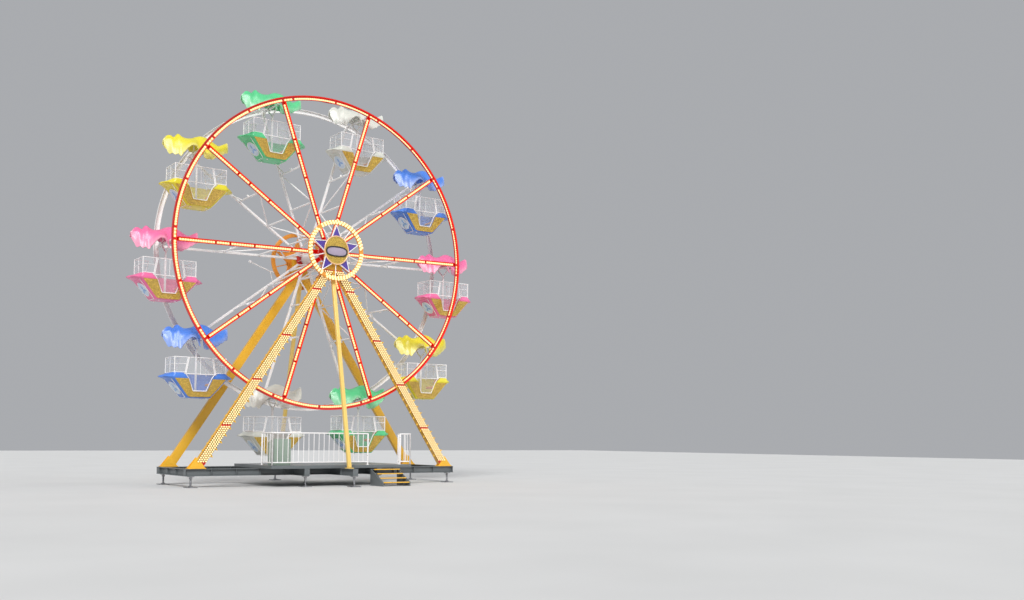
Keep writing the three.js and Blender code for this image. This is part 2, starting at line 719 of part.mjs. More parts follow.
const hangerSolid = hanger();
const canopySolid = canopy();
const tubSolid = tub();
spokeAngles.forEach((angle, i) => {
  const cabin = new THREE.Group();
  const reach = vec(Math.cos(radians(angle)), 0, Math.sin(radians(angle))).multiplyScalar(PIVOT_RADIUS);
  cabin.position.copy(reach).add(wheel.position);
  ferrisWheel.add(cabin);
  const paint = cabinColours[i % cabinColours.length];
  addTo(cabin, `cabin_${label(i)}_canopy`, canopySolid, paint);
  addTo(cabin, `cabin_${label(i)}_hanger`, hangerSolid, whiteSteel);
  addTo(cabin, `cabin_${label(i)}_tub`, tubSolid, paint);
});

addTo(ferrisWheel, "front_tower", tower(-1), yellowSteel);
addTo(ferrisWheel, "rear_tower", tower(1), yellowSteel);
addTo(ferrisWheel, "front_ring", ornament(-1), goldTrim);
addTo(ferrisWheel, "rear_ring", ornament(1), yellowSteel);
addTo(ferrisWheel, "base_frame", baseFrame(), greySteel);
addTo(ferrisWheel, "deck", deck(), deckPlate);
addTo(ferrisWheel, "steps", steps(), deckPlate);
addTo(ferrisWheel, "left_railing", leftRailing(), whiteSteel);
addTo(ferrisWheel, "right_railing", rightRailing(), whiteSteel);
addTo(ferrisWheel, "control_desk", controlDesk(), deskGreen);

export default ferrisWheel;
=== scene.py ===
# %% [markdown]
# # A travelling ferris wheel
# The wheel, its towers and its cabins already exist as plain solids that fit together and turn. This
# notebook gives them the looks of the real ride. It starts by loading those solids, and every later
# cell takes its places from them, so nothing has to be fitted by eye.

# %% Load the frame
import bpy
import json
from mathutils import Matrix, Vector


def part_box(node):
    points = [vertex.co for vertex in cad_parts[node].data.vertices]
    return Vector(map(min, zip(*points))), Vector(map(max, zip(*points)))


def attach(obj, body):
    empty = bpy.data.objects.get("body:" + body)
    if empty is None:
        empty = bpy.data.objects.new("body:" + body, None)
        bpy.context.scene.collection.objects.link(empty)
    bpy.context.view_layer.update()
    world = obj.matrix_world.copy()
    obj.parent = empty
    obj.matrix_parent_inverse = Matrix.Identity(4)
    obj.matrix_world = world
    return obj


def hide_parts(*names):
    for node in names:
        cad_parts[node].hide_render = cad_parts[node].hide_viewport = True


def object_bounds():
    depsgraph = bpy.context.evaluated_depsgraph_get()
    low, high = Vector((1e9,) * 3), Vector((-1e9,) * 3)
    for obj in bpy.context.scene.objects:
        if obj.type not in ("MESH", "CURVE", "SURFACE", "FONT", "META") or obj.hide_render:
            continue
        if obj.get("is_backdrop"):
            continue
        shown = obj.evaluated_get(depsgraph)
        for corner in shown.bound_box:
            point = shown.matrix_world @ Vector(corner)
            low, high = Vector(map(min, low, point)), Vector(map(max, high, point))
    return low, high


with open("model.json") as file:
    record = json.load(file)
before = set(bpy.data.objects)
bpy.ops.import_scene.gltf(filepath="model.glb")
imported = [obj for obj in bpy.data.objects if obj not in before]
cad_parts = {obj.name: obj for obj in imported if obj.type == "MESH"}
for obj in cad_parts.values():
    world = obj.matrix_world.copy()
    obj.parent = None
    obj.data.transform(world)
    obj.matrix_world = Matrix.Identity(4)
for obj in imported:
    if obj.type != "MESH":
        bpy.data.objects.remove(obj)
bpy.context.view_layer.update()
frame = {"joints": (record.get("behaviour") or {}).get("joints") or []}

# %% [markdown]
# The joints say where things turn: the wheel on its axle, and each cabin on a pivot between the rims.
# Everything on the wheel is laid out around the axle, and everything on a cabin from its own pivot, so
# these points are read once and given names.

# %% Read the turning points
import json
import math

import bmesh
import bpy
from mathutils import Matrix, Vector
from mathutils.bvhtree import BVHTree

FULL_TURN = 2 * math.pi
joint_places = {joint["name"]: Vector(joint["pos_m"]) for joint in frame["joints"]}
axle = joint_places["wheel_spin"]
pivots = {name.removesuffix("_swing"): place for name, place in joint_places.items() if "_swing" in name}
pivot_radius = (pivots["cabin_01"] - axle).length
spoke_angles = {name[-2:]: math.atan2(p.z - axle.z, p.x - axle.x) for name, p in pivots.items()}
print("axle height:", round(axle.z, 3), "pivot radius:", round(pivot_radius, 3))

# %% [markdown]
# The camera stands at eye height, to the left of the ride, and is tilted up a little. Its shift keeps the
# wheel in one corner of the frame. A focal length in pixels becomes a lens by comparing the picture with
# the sensor.

# %% Camera
EYE_FROM_AXLE = Vector((-18.526, -38.171, -7.167))
CAMERA_YAW = math.radians(36.525)
CAMERA_PITCH = math.radians(3.693)
CAMERA_ROLL = math.radians(0.449)
FOCAL_PIXELS = 1055.8
PICTURE_WIDTH = 1024
PICTURE_HEIGHT = 600
MIDDLE_ROW = 369.9

lens = bpy.data.cameras.new("lens")
lens.sensor_width = 36
lens.lens = FOCAL_PIXELS * lens.sensor_width / PICTURE_WIDTH
lens.shift_y = (MIDDLE_ROW - PICTURE_HEIGHT / 2) / PICTURE_WIDTH
lens.clip_end = 1000
camera = bpy.data.objects.new("camera", lens)
bpy.context.scene.collection.objects.link(camera)
heading = Matrix.Rotation(-CAMERA_YAW, 4, "Z")
tilt = Matrix.Rotation(math.radians(90) + CAMERA_PITCH, 4, "X")
roll = Matrix.Rotation(CAMERA_ROLL, 4, "Z")
camera.matrix_world = Matrix.Translation(axle + EYE_FROM_AXLE) @ heading @ tilt @ roll
bpy.context.scene.camera = camera
print("lens:", round(lens.lens, 2), "mm, shift:", round(lens.shift_y, 4))

# %% [markdown]
# A material is a small sum: a colour, made a little darker here and rougher there by noise. Written with
# nodes, such a sum is long and hard to read. The class below wraps a socket so that plain Python
# arithmetic adds the Math nodes, and one method adds every other kind of node, settings first.

# %% Sums of sockets
class Value:
    """A socket that can be used in Python sums."""

    def __init__(self, build, socket):
        self.build = build
        self.socket = socket

    def __add__(self, other):
        return self.build.maths("ADD", self, other)

    def __sub__(self, other):
        return self.build.maths("SUBTRACT", self, other)

    def __rsub__(self, other):
        return self.build.maths("SUBTRACT", other, self)

    def __mul__(self, other):
        return self.build.maths("MULTIPLY", self, other)

    __radd__ = __add__
    __rmul__ = __mul__

    def sine(self):
        return self.build.maths("SINE", self, 0)

    def size(self):
        return self.build.maths("ABSOLUTE", self, 0)

    def above(self, start, width):
        """0 below start, rising to 1 over a width."""
        return self.build.node(
            "ShaderNodeMapRange", {"clamp": True}, {0: self, 1: start, 2: start + width, 3: 0.0, 4: 1.0}
        )


class Builder:
    """Adds nodes to one tree."""

    def __init__(self, tree):
        self.tree = tree

    def node(self, kind, settings=None, inputs=None, output=0):
        made = self.tree.nodes.new(kind)
        for name, value in (settings or {}).items():
            setattr(made, name, value)
        for key, value in (inputs or {}).items():
            if isinstance(value, Value):
                self.tree.links.new(value.socket, made.inputs[key])
            else:
                made.inputs[key].default_value = value
        return Value(self, made.outputs[output]) if made.outputs else None

    def maths(self, operation, first, second):
        return self.node("ShaderNodeMath", {"operation": operation}, {0: first, 1: second})

    def mix(self, share, first, second):
        colours = {6: with_alpha(first), 7: with_alpha(second)}
        return self.node("ShaderNodeMix", {"data_type": "RGBA"}, {0: share, **colours}, 2)

    def noise(self, place, scale, detail=3.0):
        inputs = {"Vector": place, "Scale": scale, "Detail": detail}
        return self.node("ShaderNodeTexNoise", {}, inputs)

    def bump(self, height, strength, distance):
        inputs = {"Strength": strength, "Distance": distance, "Height": height}
        return self.node("ShaderNodeBump", {}, inputs)


def with_alpha(colour):
    return colour if isinstance(colour, Value) else (*colour, 1.0)


def shaded(colour, factor):
    return tuple(min(1.0, channel * factor) for channel in colour)


# %% [markdown]
# Every finish here is one Principled shader. What is the same all over the surface is set on its socket
# as a number, and what varies comes from a small recipe that returns the links. Patterns read the
# Object coordinates, because each piece keeps its place in its mesh, so they stay put when it moves.

# %% One finish from one recipe
def finish(name, recipe, **numbers):
    made = bpy.data.materials.new(name)
    made.use_nodes = True
    tree = made.node_tree
    tree.nodes.clear()
    build = Builder(tree)
    place = build.node("ShaderNodeTexCoord", output="Object")
    sockets = {key.replace("_", " "): value for key, value in numbers.items()}
    shader = build.node("ShaderNodeBsdfPrincipled", {}, {**sockets, **recipe(build, place)})
    build.node("ShaderNodeOutputMaterial", {}, {"Surface": shader})
    return made


# %% [markdown]
# Ride steel is sprayed with gloss enamel, touched up by hand every season. Seen close, the paint has
# orange peel, a dull film of dust and a few small chips down to the primer. Real dirt gathers slowly and
# in patches, so a broad noise decides where the finer one may show.

# %% Painted steel
CHIP = (0.16, 0.12, 0.10)


def painted_steel(name, colour, rough=0.38):
    def recipe(build, place):
        broad = build.noise(place, 0.7, 3)
        fine = build.noise(place, 19.0, 6)
        film = broad.above(0.42, 0.3) * fine.above(0.45, 0.25)
        chips = fine.above(0.69, 0.02) * broad.above(0.5, 0.1)
        tone = build.mix(broad, shaded(colour, 0.86), shaded(colour, 1.1))
        dusty = build.mix(film * 0.22, tone, shaded(colour, 0.55))
        peel = build.noise(place, 160.0, 2)
        return {
            "Base Color": build.mix(chips, dusty, CHIP),
            "Roughness": film * 0.25 + rough,
            "Normal": build.bump(peel + chips * -2.0, 0.12, 0.002),
        }

    return finish(name, recipe, Coat_Weight=0.25, Coat_Roughness=0.2)


white_paint = painted_steel("white_paint", (0.90, 0.88, 0.87))
red_paint = painted_steel("red_paint", (0.56, 0.020, 0.014), 0.32)
yellow_paint = painted_steel("yellow_paint", (0.86, 0.47, 0.03), 0.34)
strut_paint = painted_steel("strut_paint", (0.86, 0.60, 0.16), 0.34)
panel_paint = painted_steel("panel_paint", (0.15, 0.085, 0.012), 0.36)
orange_paint = painted_steel("orange_paint", (0.80, 0.31, 0.035), 0.38)
peach_paint = painted_steel("peach_paint", (0.90, 0.56, 0.30), 0.3)
chassis_paint = painted_steel("chassis_paint", (0.13, 0.145, 0.15), 0.5)
cabinet_paint = painted_steel("cabinet_paint", (0.27, 0.34, 0.28), 0.45)

# %% [markdown]
# Canopies and tubs are moulded in glass fibre. The colour is in the gelcoat, so it has no brush marks but a
# slight mottle, under a hard polished surface. The canopies' hems are painted paler, a painted highlight
# where their edges catch the light: an attribute on the mesh marks them, because no noise can know where an
# edge is.

# %% Gelcoat
def gelcoat(name, colour, hem_highlight=0.0):
    def recipe(build, place):
        mottle = build.noise(place, 2.6, 4)
        specks = build.noise(place, 60.0, 2)
        tone = build.mix(mottle, shaded(colour, 0.82), shaded(colour, 1.12))
        if hem_highlight:
            # painted highlight: near the hems the colour is mixed towards a pale cream
            hem = build.node("ShaderNodeAttribute", {"attribute_name": "hem"}, {}, "Fac")
            tone = build.mix(hem * hem_highlight, tone, (0.78, 0.78, 0.72))
        return {
            "Base Color": tone,
            "Roughness": specks * 0.14 + 0.36,
            "Normal": build.bump(mottle, 0.2, 0.01),
        }

    return finish(name, recipe, Coat_Weight=0.25, Coat_Roughness=0.2)


CABIN_COLOURS = {
    "yellow": (0.80, 0.70, 0.03),
    "green": (0.10, 0.60, 0.25),
    "cream": (0.66, 0.67, 0.60),
    "blue": (0.07, 0.22, 0.72),
    "pink": (0.85, 0.16, 0.36),
}
# 0.22 is the strength of the painted highlight on the canopy hems
gelcoats = {key: gelcoat(key + "_gelcoat", colour, 0.22) for key, colour in CABIN_COLOURS.items()}
lilac_gelcoat = gelcoat("lilac_gelcoat", (0.40, 0.33, 0.43))
pale_blue_gelcoat = gelcoat("pale_blue_gelcoat", (0.64, 0.76, 0.90))
mark_gelcoat = gelcoat("mark_gelcoat", (0.24, 0.44, 0.80))
violet_gelcoat = gelcoat("violet_gelcoat", (0.085, 0.045, 0.33))

# %% [markdown]
# Fairground gold is not gold leaf but glitter: small metal flakes, each tipped a little differently, set in
# clear resin. Voronoi cells give each flake a height of its own, and the bump turns the heights into facets
# that catch the light one by one. Some flakes are also painted brighter in their base colour, a painted
# glint.

# %% Gold glitter
def glitter(name, colour, flake_scale):
    def recipe(build, place):
        cells = build.node("ShaderNodeTexVoronoi", {}, {"Vector": place, "Scale": flake_scale}, "Color")
        split = build.node("ShaderNodeSeparateColor", {}, {0: cells})
        flash = split.above(0.55, 0.4)
        return {
            # painted glint: the flakes that flash get a lighter base colour
            "Base Color": build.mix(flash, shaded(colour, 0.6), shaded(colour, 1.35)),
            "Roughness": 0.52 - flash * 0.3,
            "Normal": build.bump(split, 0.5, 0.01),
        }

    return finish(name, recipe, Metallic=0.45, Coat_Weight=0.7, Coat_Roughness=0.1)


gold_glitter = glitter("gold_glitter", (0.78, 0.50, 0.08), 55.0)

# %% [markdown]
# The lamps are small caps of ribbed plastic with a warm light inside. The holders under them are given a
# duller orange light, and the red backing behind them a red one, though neither is a lamp: this is painted
# glow. In daylight strength the caps must look lit without bleaching to white, so their light is only a
# little stronger than the room's. The clear screens are bent plastic sheet, scratched by years of wiping.

# %% Lamps and clear sheet
def lamp_cap(build, place):
    ribs = build.noise(place, 90.0, 1)
    return {
        "Base Color": build.mix(ribs, (0.62, 0.42, 0.16), (0.78, 0.58, 0.30)),
        "Roughness": ribs * 0.2 + 0.2,
    }


def lens_backing(build, place):
    dust = build.noise(place, 6.0, 4)
    return {
        "Base Color": build.mix(dust, (0.55, 0.014, 0.008), (0.66, 0.03, 0.02)),
        "Roughness": dust * 0.2 + 0.3,
    }


def wiped_sheet(build, place):
    wipes = build.noise(place, 3.0, 5)
    return {
        "Base Color": build.mix(wipes, (0.66, 0.70, 0.74), (0.86, 0.88, 0.90)),
        "Roughness": wipes * 0.12 + 0.05,
    }


def lit(name, recipe, glow, strength):
    return finish(name, recipe, Emission_Color=(*glow, 1.0), Emission_Strength=strength)


warm_cap = lit("warm_cap", lamp_cap, (1.0, 0.78, 0.40), 1.0)
# painted glow: the holders are no lamps but are given an orange light
holder_painted_glow = lit("holder_painted_glow", lamp_cap, (1.0, 0.40, 0.08), 0.5)
# painted glow: the red backing is no lamp but is given a red light, standing for the light the channel picks
# up
red_painted_glow = lit("red_painted_glow", lens_backing, (1.0, 0.02, 0.008), 0.55)
clear_sheet = finish("clear_sheet", wiped_sheet, Alpha=0.14)

# %% [markdown]
# The rest is plain stuff: rolled aluminium tread plate, black rubber, bare turned steel, and the vinyl of
# the benches. The tread pattern is two sets of crossed bars that take turns, which a product of two
# sines gives: its sign says which way a bar lies.

# %% Tread plate, rubber, bare steel and vinyl
TREAD_PITCH = 0.07


def tread_plate(build, place):
    split = build.node("ShaderNodeSeparateXYZ", {}, {0: place}, "X")
    across = Value(build, split.socket.node.outputs["Y"])
    wave = FULL_TURN / TREAD_PITCH
    bars = ((split + across) * wave).sine() * ((split - across) * wave).sine()
    raised = bars.size().above(0.45, 0.2)
    worn = build.noise(place, 4.0, 5)
    return {
        "Base Color": build.mix(worn, (0.30, 0.31, 0.32), (0.56, 0.57, 0.58)),
        "Roughness": 0.55 - raised * 0.18 + worn * 0.1,
        "Normal": build.bump(raised, 0.6, 0.003),
    }


def turned_steel(build, place):
    oil = build.noise(place, 12.0, 4)
    return {
        "Base Color": build.mix(oil, (0.22, 0.22, 0.23), (0.50, 0.50, 0.52)),
        "Roughness": oil * 0.25 + 0.22,
    }


def black_rubber(build, place):
    bloom = build.noise(place, 9.0, 4)
    return {
        "Base Color": build.mix(bloom, (0.012, 0.012, 0.012), (0.05, 0.05, 0.05)),
        "Roughness": bloom * 0.2 + 0.6,
    }


def seat_vinyl(build, place):
    grain = build.node("ShaderNodeTexVoronoi", {}, {"Vector": place, "Scale": 140.0}, "Distance")
    rubbed = build.noise(place, 5.0, 4)
    return {
        "Base Color": build.mix(rubbed, (0.55, 0.17, 0.03), (0.85, 0.34, 0.07)),
        "Roughness": rubbed * 0.2 + 0.38,
        "Normal": build.bump(grain, 0.35, 0.002),
    }


tread = finish("tread_plate", tread_plate, Metallic=0.8)
bare_steel = finish("bare_steel", turned_steel, Metallic=1.0)
rubber = finish("rubber", black_rubber)
vinyl = finish("seat_vinyl", seat_vinyl, Sheen_Weight=0.1)
print("finishes:", len(bpy.data.materials))

# %% [markdown]
# Most of this machine is bar, tube, plate and turned parts. Each of these has one short function that
# returns a Shape: corners and faces, with no object yet. Shapes are added together, so a bracket with
# its tube and its plate ends up as one mesh.

# %% Shapes
class Shape:
    """Corners and faces of one or more closed forms."""

    def __init__(self, corners=(), faces=()):
        self.corners = [Vector(corner) for corner in corners]
        self.faces = [tuple(face) for face in faces]

    def add(self, *others):
        for other in others:
            start = len(self.corners)
            self.corners.extend(other.corners)
            self.faces.extend(tuple(start + k for k in face) for face in other.faces)
        return self

    def moved(self, matrix):
        return Shape([matrix @ corner for corner in self.corners], self.faces)


def together(shapes):
    return Shape().add(*shapes)


def block(low, high):
    """A box from its lowest to its highest corner."""
    corners = [(x, y, z) for x in (low[0], high[0]) for y in (low[1], high[1]) for z in (low[2], high[2])]
    faces = [(0, 1, 3, 2), (4, 6, 7, 5), (0, 4, 5, 1), (2, 3, 7, 6), (0, 2, 6, 4), (1, 5, 7, 3)]
    return Shape(corners, faces)


def lofted(rings, closed=False):
    """A skin over rings of corners, with flat ends unless the rings close on themselves."""
    count = len(rings[0])
    faces = []
    for k in range(len(rings) if closed else len(rings) - 1):
        near = k * count
        far = ((k + 1) % len(rings)) * count
        for i in range(count):
            j = (i + 1) % count
            faces.append((near + i, near + j, far + j, far + i))
    if not closed:
        faces.append(tuple(range(count)))
        faces.append(tuple(range((len(rings) - 1) * count, len(rings) * count)))
    return Shape([corner for ring in rings for corner in ring], faces)


def swept(path, outline, up=(0, 0, 1), closed=False):
    """An outline of (side, up) pairs carried along a path, mitred at its corners."""
    points = [Vector(point) for point in path]
    count = len(points)
    rings = []
    for i, point in enumerate(points):
        before = point - points[i - 1] if i or closed else points[1] - point
        after = points[(i + 1) % count] - point if i < count - 1 or closed else before
        before, after = before.normalized(), after.normalized()
        way = (before + after).normalized()
        side = way.cross(Vector(up)).normalized()
        top = side.cross(way)
        bend = after - before
        ring = []
        for a, b in outline:
            offset = side * a + top * b
            if bend.length > 1e-6:
                turn = bend.normalized()
                offset += turn * offset.dot(turn) * (1 / max(0.3, way.dot(after)) - 1)
            ring.append(point + offset)
        rings.append(ring)
    return lofted(rings, closed)


def circle(radius, sides):
    angles = [FULL_TURN * k / sides for k in range(sides)]
    return [(radius * math.cos(a), radius * math.sin(a)) for a in angles]


def rod(path, radius, sides=10, up=None, closed=False):
    """A round bar along a path."""
    way = Vector(path[1]) - Vector(path[0])
    upright = abs(way.normalized().z) > 0.9
    return swept(path, circle(radius, sides), up or ((0, 1, 0) if upright else (0, 0, 1)), closed)


def rounded(wide, deep, radius, steps=3):
    """A rectangle with round corners, as an outline."""
    corners = [(1, 1), (-1, 1), (-1, -1), (1, -1)]
    outline = []
    for k, (a, b) in enumerate(corners):
        for step in range(steps + 1):
            angle = math.radians(90) * (k + step / steps)
            x = a * (wide / 2 - radius) + radius * math.cos(angle)
            y = b * (deep / 2 - radius) + radius * math.sin(angle)
            outline.append((x, y))
    return outline


def turned(profile, at, facing, sides=24):
    """A lathe part: (radius, height) pairs that start and end on the axis."""
    rings = [[Vector((x, y, h)) for x, y in circle(r, sides)] for r, h in profile[1:-1]]
    made = lofted(rings)
    return made.moved(aimed(at, facing))


def aimed(at, facing):
    """The placement that takes +Z to a direction, and the origin to a point."""
    turn = Vector((0, 0, 1)).rotation_difference(Vector(facing)).to_matrix().to_4x4()
    return Matrix.Translation(Vector(at)) @ turn


def plate(outline, front, back):
    """A flat outline in X and Z, as a plate between two values of Y."""
    return lofted([[Vector((x, y, z)) for x, z in outline] for y in (front, back)])


def gusset(outline, half):
    """A flat outline in X and Y, as a plate of twice a half thickness."""
    return lofted([[Vector((x, y, z)) for x, y in outline] for z in (-half, half)])


# %% [markdown]
# A mesh becomes a piece in one place: its faces are turned outwards, its sharp edges may get a small bevel
# that catches the light, and it is shaded smooth except across real edges. The piece is then tied to the body
# it moves with, and the plain solids it stands in for are hidden.

# %% From shapes to pieces
def mesh_of(shape, bevel=0.0, crease=32.0, cutter=None):
    mesh = bpy.data.meshes.new("shape")
    mesh.from_pydata([tuple(corner) for corner in shape.corners], [], shape.faces)
    if cutter:
        mesh = cut(mesh, mesh_of(cutter))
    work = bmesh.new()
    work.from_mesh(mesh)
    bmesh.ops.recalc_face_normals(work, faces=work.faces)
    if bevel:
        limit = math.radians(crease)
        sharp = [e for e in work.edges if len(e.link_faces) == 2 and e.calc_face_angle(0) > limit]
        bmesh.ops.bevel(work, geom=sharp, offset=bevel, segments=2, affect="EDGES", profile=0.6)
    work.to_mesh(mesh)
    work.free()
    return smoothed(mesh, crease)


def smoothed(mesh, crease=32.0):
    mesh.polygons.foreach_set("use_smooth", [True] * len(mesh.polygons))
    mesh.set_sharp_from_angle(angle=math.radians(crease))
    return mesh


def linked(name, mesh):
    made = bpy.data.objects.new(name, mesh)
    bpy.context.scene.collection.objects.link(made)
    return made


def evaluated(holder):
    """The mesh that an object's modifiers give, with the object removed afterwards."""
    graph = bpy.context.evaluated_depsgraph_get()
    mesh = bpy.data.meshes.new_from_object(holder.evaluated_get(graph))
    bpy.data.objects.remove(holder)
    return mesh


def cut(mesh, cutter):
    tool = linked("cutter", cutter)
    holder = linked("holder", mesh)
    difference = holder.modifiers.new("cut", "BOOLEAN")
    difference.operation = "DIFFERENCE"
    difference.solver = "EXACT"
    difference.object = tool
    result = evaluated(holder)
    bpy.data.objects.remove(tool)
    return result


def piece(name, mesh, paint, body, slot, *replaces):
    made = linked(name, mesh)
    mesh.materials.clear()
    mesh.materials.append(paint)
    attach(made, body)
    if replaces:
        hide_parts(*replaces)
    return made


# %% [markdown]
# Lamps, bolts, pickets and trim repeat by the hundred, and Geometry Nodes is the tool for that. Two trees
# do nearly all of it. One sets a shape along lines at an even spacing. The other sets a shape on marked
# points, turned to the direction that each point carries. Both end by making the copies real.

# %% Trees for what repeats
def new_tree(name, inputs):
    tree = bpy.data.node_groups.new(name, "GeometryNodeTree")
    tree.interface.new_socket("Geometry", in_out="INPUT", socket_type="NodeSocketGeometry")
    for label, kind in inputs.items():
        tree.interface.new_socket(label, in_out="INPUT", socket_type="NodeSocket" + kind)
    tree.interface.new_socket("Geometry", in_out="OUTPUT", socket_type="NodeSocketGeometry")
    build = Builder(tree)
    start = tree.nodes.new("NodeGroupInput")
    return tree, build, {socket.name: Value(build, socket) for socket in start.outputs if socket.name}


def end_tree(build, instances, paint):
    real = build.node("GeometryNodeRealizeInstances", {}, {"Geometry": instances})
    painted = build.node("GeometryNodeSetMaterial", {}, {"Geometry": real, "Material": paint})
    build.node("NodeGroupOutput", {}, {"Geometry": painted})


def tree_along_lines():
    inputs = {"Spacing": "Float", "Shape": "Object", "Finish": "Material"}
    tree, build, given = new_tree("Shapes along lines", inputs)
    curve = build.node("GeometryNodeMeshToCurve", {}, {"Mesh": given["Geometry"]})
    spaced = build.node(
        "GeometryNodeResampleCurve", {"mode": "LENGTH"}, {"Curve": curve, "Length": given["Spacing"]}
    )
    shape = build.node("GeometryNodeObjectInfo", {}, {"Object": given["Shape"]}, "Geometry")
    copies = build.node("GeometryNodeInstanceOnPoints", {}, {"Points": spaced, "Instance": shape})
    end_tree(build, copies, given["Finish"])
    return tree


def tree_on_points():
    inputs = {"Shape": "Object", "Size": "Float", "Finish": "Material"}
    tree, build, given = new_tree("Shapes on marked points", inputs)
    facing = build.node(
        "GeometryNodeInputNamedAttribute", {"data_type": "FLOAT_VECTOR"}, {"Name": "facing"}, "Attribute"
    )
    turn = build.node("FunctionNodeAlignRotationToVector", {"axis": "Z"}, {"Vector": facing})
    shape = build.node("GeometryNodeObjectInfo", {}, {"Object": given["Shape"]}, "Geometry")
    where = {"Points": given["Geometry"], "Instance": shape, "Rotation": turn, "Scale": given["Size"]}
    copies = build.node("GeometryNodeInstanceOnPoints", {}, where)
    end_tree(build, copies, given["Finish"])
    return tree


along_lines = tree_along_lines()
on_points = tree_on_points()


def grown(tree, base, values):
    """The plain mesh that a tree makes from a base mesh."""
    holder = bpy.data.objects.new("holder", base)
    modifier = holder.modifiers.new("grow", "NODES")
    modifier.node_group = tree
    for item in tree.interface.items_tree:
        if item.in_out == "INPUT" and item.name in values:
            modifier[item.identifier] = values[item.name]
    bpy.context.scene.collection.objects.link(holder)
    return evaluated(holder)


def repeated_along(lines, shape, spacing, paint):
    """A shape every so often along each line of points."""
    corners, edges = [], []
    for line in lines:
        start = len(corners)
        corners.extend(tuple(point) for point in line)
        edges.extend((k, k + 1) for k in range(start, len(corners) - 1))
    base = bpy.data.meshes.new("lines")
    base.from_pydata(corners, edges, [])
    sample = linked("sample", mesh_of(shape))
    mesh = grown(along_lines, base, {"Spacing": spacing, "Shape": sample, "Finish": paint})
    bpy.data.objects.remove(sample)
    return smoothed(mesh, 50)


def repeated_on(places, shape, paint, size=1.0):
    """A shape on each (point, direction) pair, its +Z turned to the direction."""
    base = bpy.data.meshes.new("points")
    base.from_pydata([tuple(point) for point, _ in places], [], [])
    facing = base.attributes.new("facing", "FLOAT_VECTOR", "POINT")
    facing.data.foreach_set("vector", [value for _, way in places for value in way])
    sample = linked("sample", mesh_of(shape))
    mesh = grown(on_points, base, {"Shape": sample, "Size": size, "Finish": paint})
    bpy.data.objects.remove(sample)
    return smoothed(mesh, 40)


BOLT = [(0, 0), (0.021, 0), (0.021, 0.003), (0.0165, 0.003), (0.0165, 0.014), (0.013, 0.016), (0, 0.016)]
bolt = turned(BOLT, (0, 0, 0), (0, 0, 1), 6)

# %% [markdown]
# A rim is one rolled channel bent into a circle, open towards the front. Its shape follows a rule, so it
# is grown too: a circle curve, and a channel outline carried around it. The front rim is red and holds
# the lamps. The rear one is the same channel in white, which from afar reads as two bright lines.

# %% The rims
CHANNEL_STEEL = 0.012
INSIDE_SOLID = 0.006  # the rolled channel stays this far inside the plain rim, which has flat sides
rim_low, rim_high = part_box("front_rim")
rim_outer = (rim_high.z - rim_low.z) / 2 - INSIDE_SOLID
rim_wide = rim_high.y - rim_low.y
RIM_DEPTH = 0.18
rim_middle = rim_outer - RIM_DEPTH / 2


def channel(across, deep, steel):
    """A channel outline: its back towards +up, open on the other side."""
    a, b = across / 2, deep / 2
    inner = [(a - steel, -b), (a - steel, b - steel), (steel - a, b - steel), (steel - a, -b)]
    return [(-a, -b), (-a, b), (a, b), (a, -b), *inner]


def tree_of_rim():
    inputs = {"Radius": "Float", "Sides": "Int", "Outline": "Object", "Finish": "Material"}
    tree, build, given = new_tree("Rolled ring", inputs)
    ring = build.node(
        "GeometryNodeCurvePrimitiveCircle", {}, {"Resolution": given["Sides"], "Radius": given["Radius"]}
    )
    outline = build.node("GeometryNodeObjectInfo", {}, {"Object": given["Outline"]}, "Geometry")
    section = build.node("GeometryNodeMeshToCurve", {}, {"Mesh": outline})
    skin = build.node("GeometryNodeCurveToMesh", {}, {"Curve": ring, "Profile Curve": section})
    end_tree(build, skin, given["Finish"])
    return tree


rolled_ring = tree_of_rim()


def ring_mesh(outline, radius, middle, sides=160):
    """An outline of (radial, axial) pairs carried around the axle."""
    loop = bpy.data.meshes.new("outline")
    count = len(outline)
    loop.from_pydata([(a, b, 0) for a, b in outline], [(k, (k + 1) % count) for k in range(count)], [])
    sample = linked("outline", loop)
    empty = bpy.data.meshes.new("empty")
    values = {"Radius": radius, "Sides": sides, "Outline": sample, "Finish": red_paint}
    mesh = grown(rolled_ring, empty, values)
    bpy.data.objects.remove(sample)
    mesh.transform(Matrix.Translation(middle) @ Matrix.Rotation(math.radians(90), 4, "X"))
    work = bmesh.new()
    work.from_mesh(mesh)
    bmesh.ops.recalc_face_normals(work, faces=work.faces)
    work.to_mesh(mesh)
    work.free()
    return smoothed(mesh)


front_y, rear_y = rim_low.y + rim_wide / 2, -rim_low.y - rim_wide / 2
rims = (("front_rim", front_y, red_paint, "red_steel"), ("rear_rim", rear_y, white_paint, "white_steel"))
rim_outline = channel(RIM_DEPTH, rim_wide, CHANNEL_STEEL)
for name, y, paint, slot in rims:
    mesh = ring_mesh(rim_outline, rim_middle, Vector((axle.x, y, axle.z)))
    piece(name + "_channel", mesh, paint, "wheel", slot, name)
print("rims:", round(2 * rim_outer, 2), "m across")

# %% [markdown]
# In daylight a lamp string is a strip of plastic holder with a cap every nine centimetres, laid in the bottom
# of the red channel. The real wheel shows a red edge beside every yellow line, where the channel's walls pick
# up the light. Here a red liner in the channel carries that as a painted glow, and the holders are given a
# painted orange glow as well. The holder comes in lengths, with a short gap where two meet, and there are
# three lengths to each bay of the rim.

# %% Lamp strings on the front rim
LAMP_PITCH = 0.09
CAP_PROFILE = [(0, 0), (0.040, 0), (0.040, 0.012), (0.033, 0.026), (0.018, 0.034), (0, 0.034)]
CAP_SIDES = 8
HOLDER_WIDE = 0.09
HOLDER_THICK = 0.014
HOLDER_ROUND = 0.005
TO_THE_FRONT = Vector((0, -1, 0))
lamp_cap_shape = turned(CAP_PROFILE, (0, 0, 0), TO_THE_FRONT, CAP_SIDES)


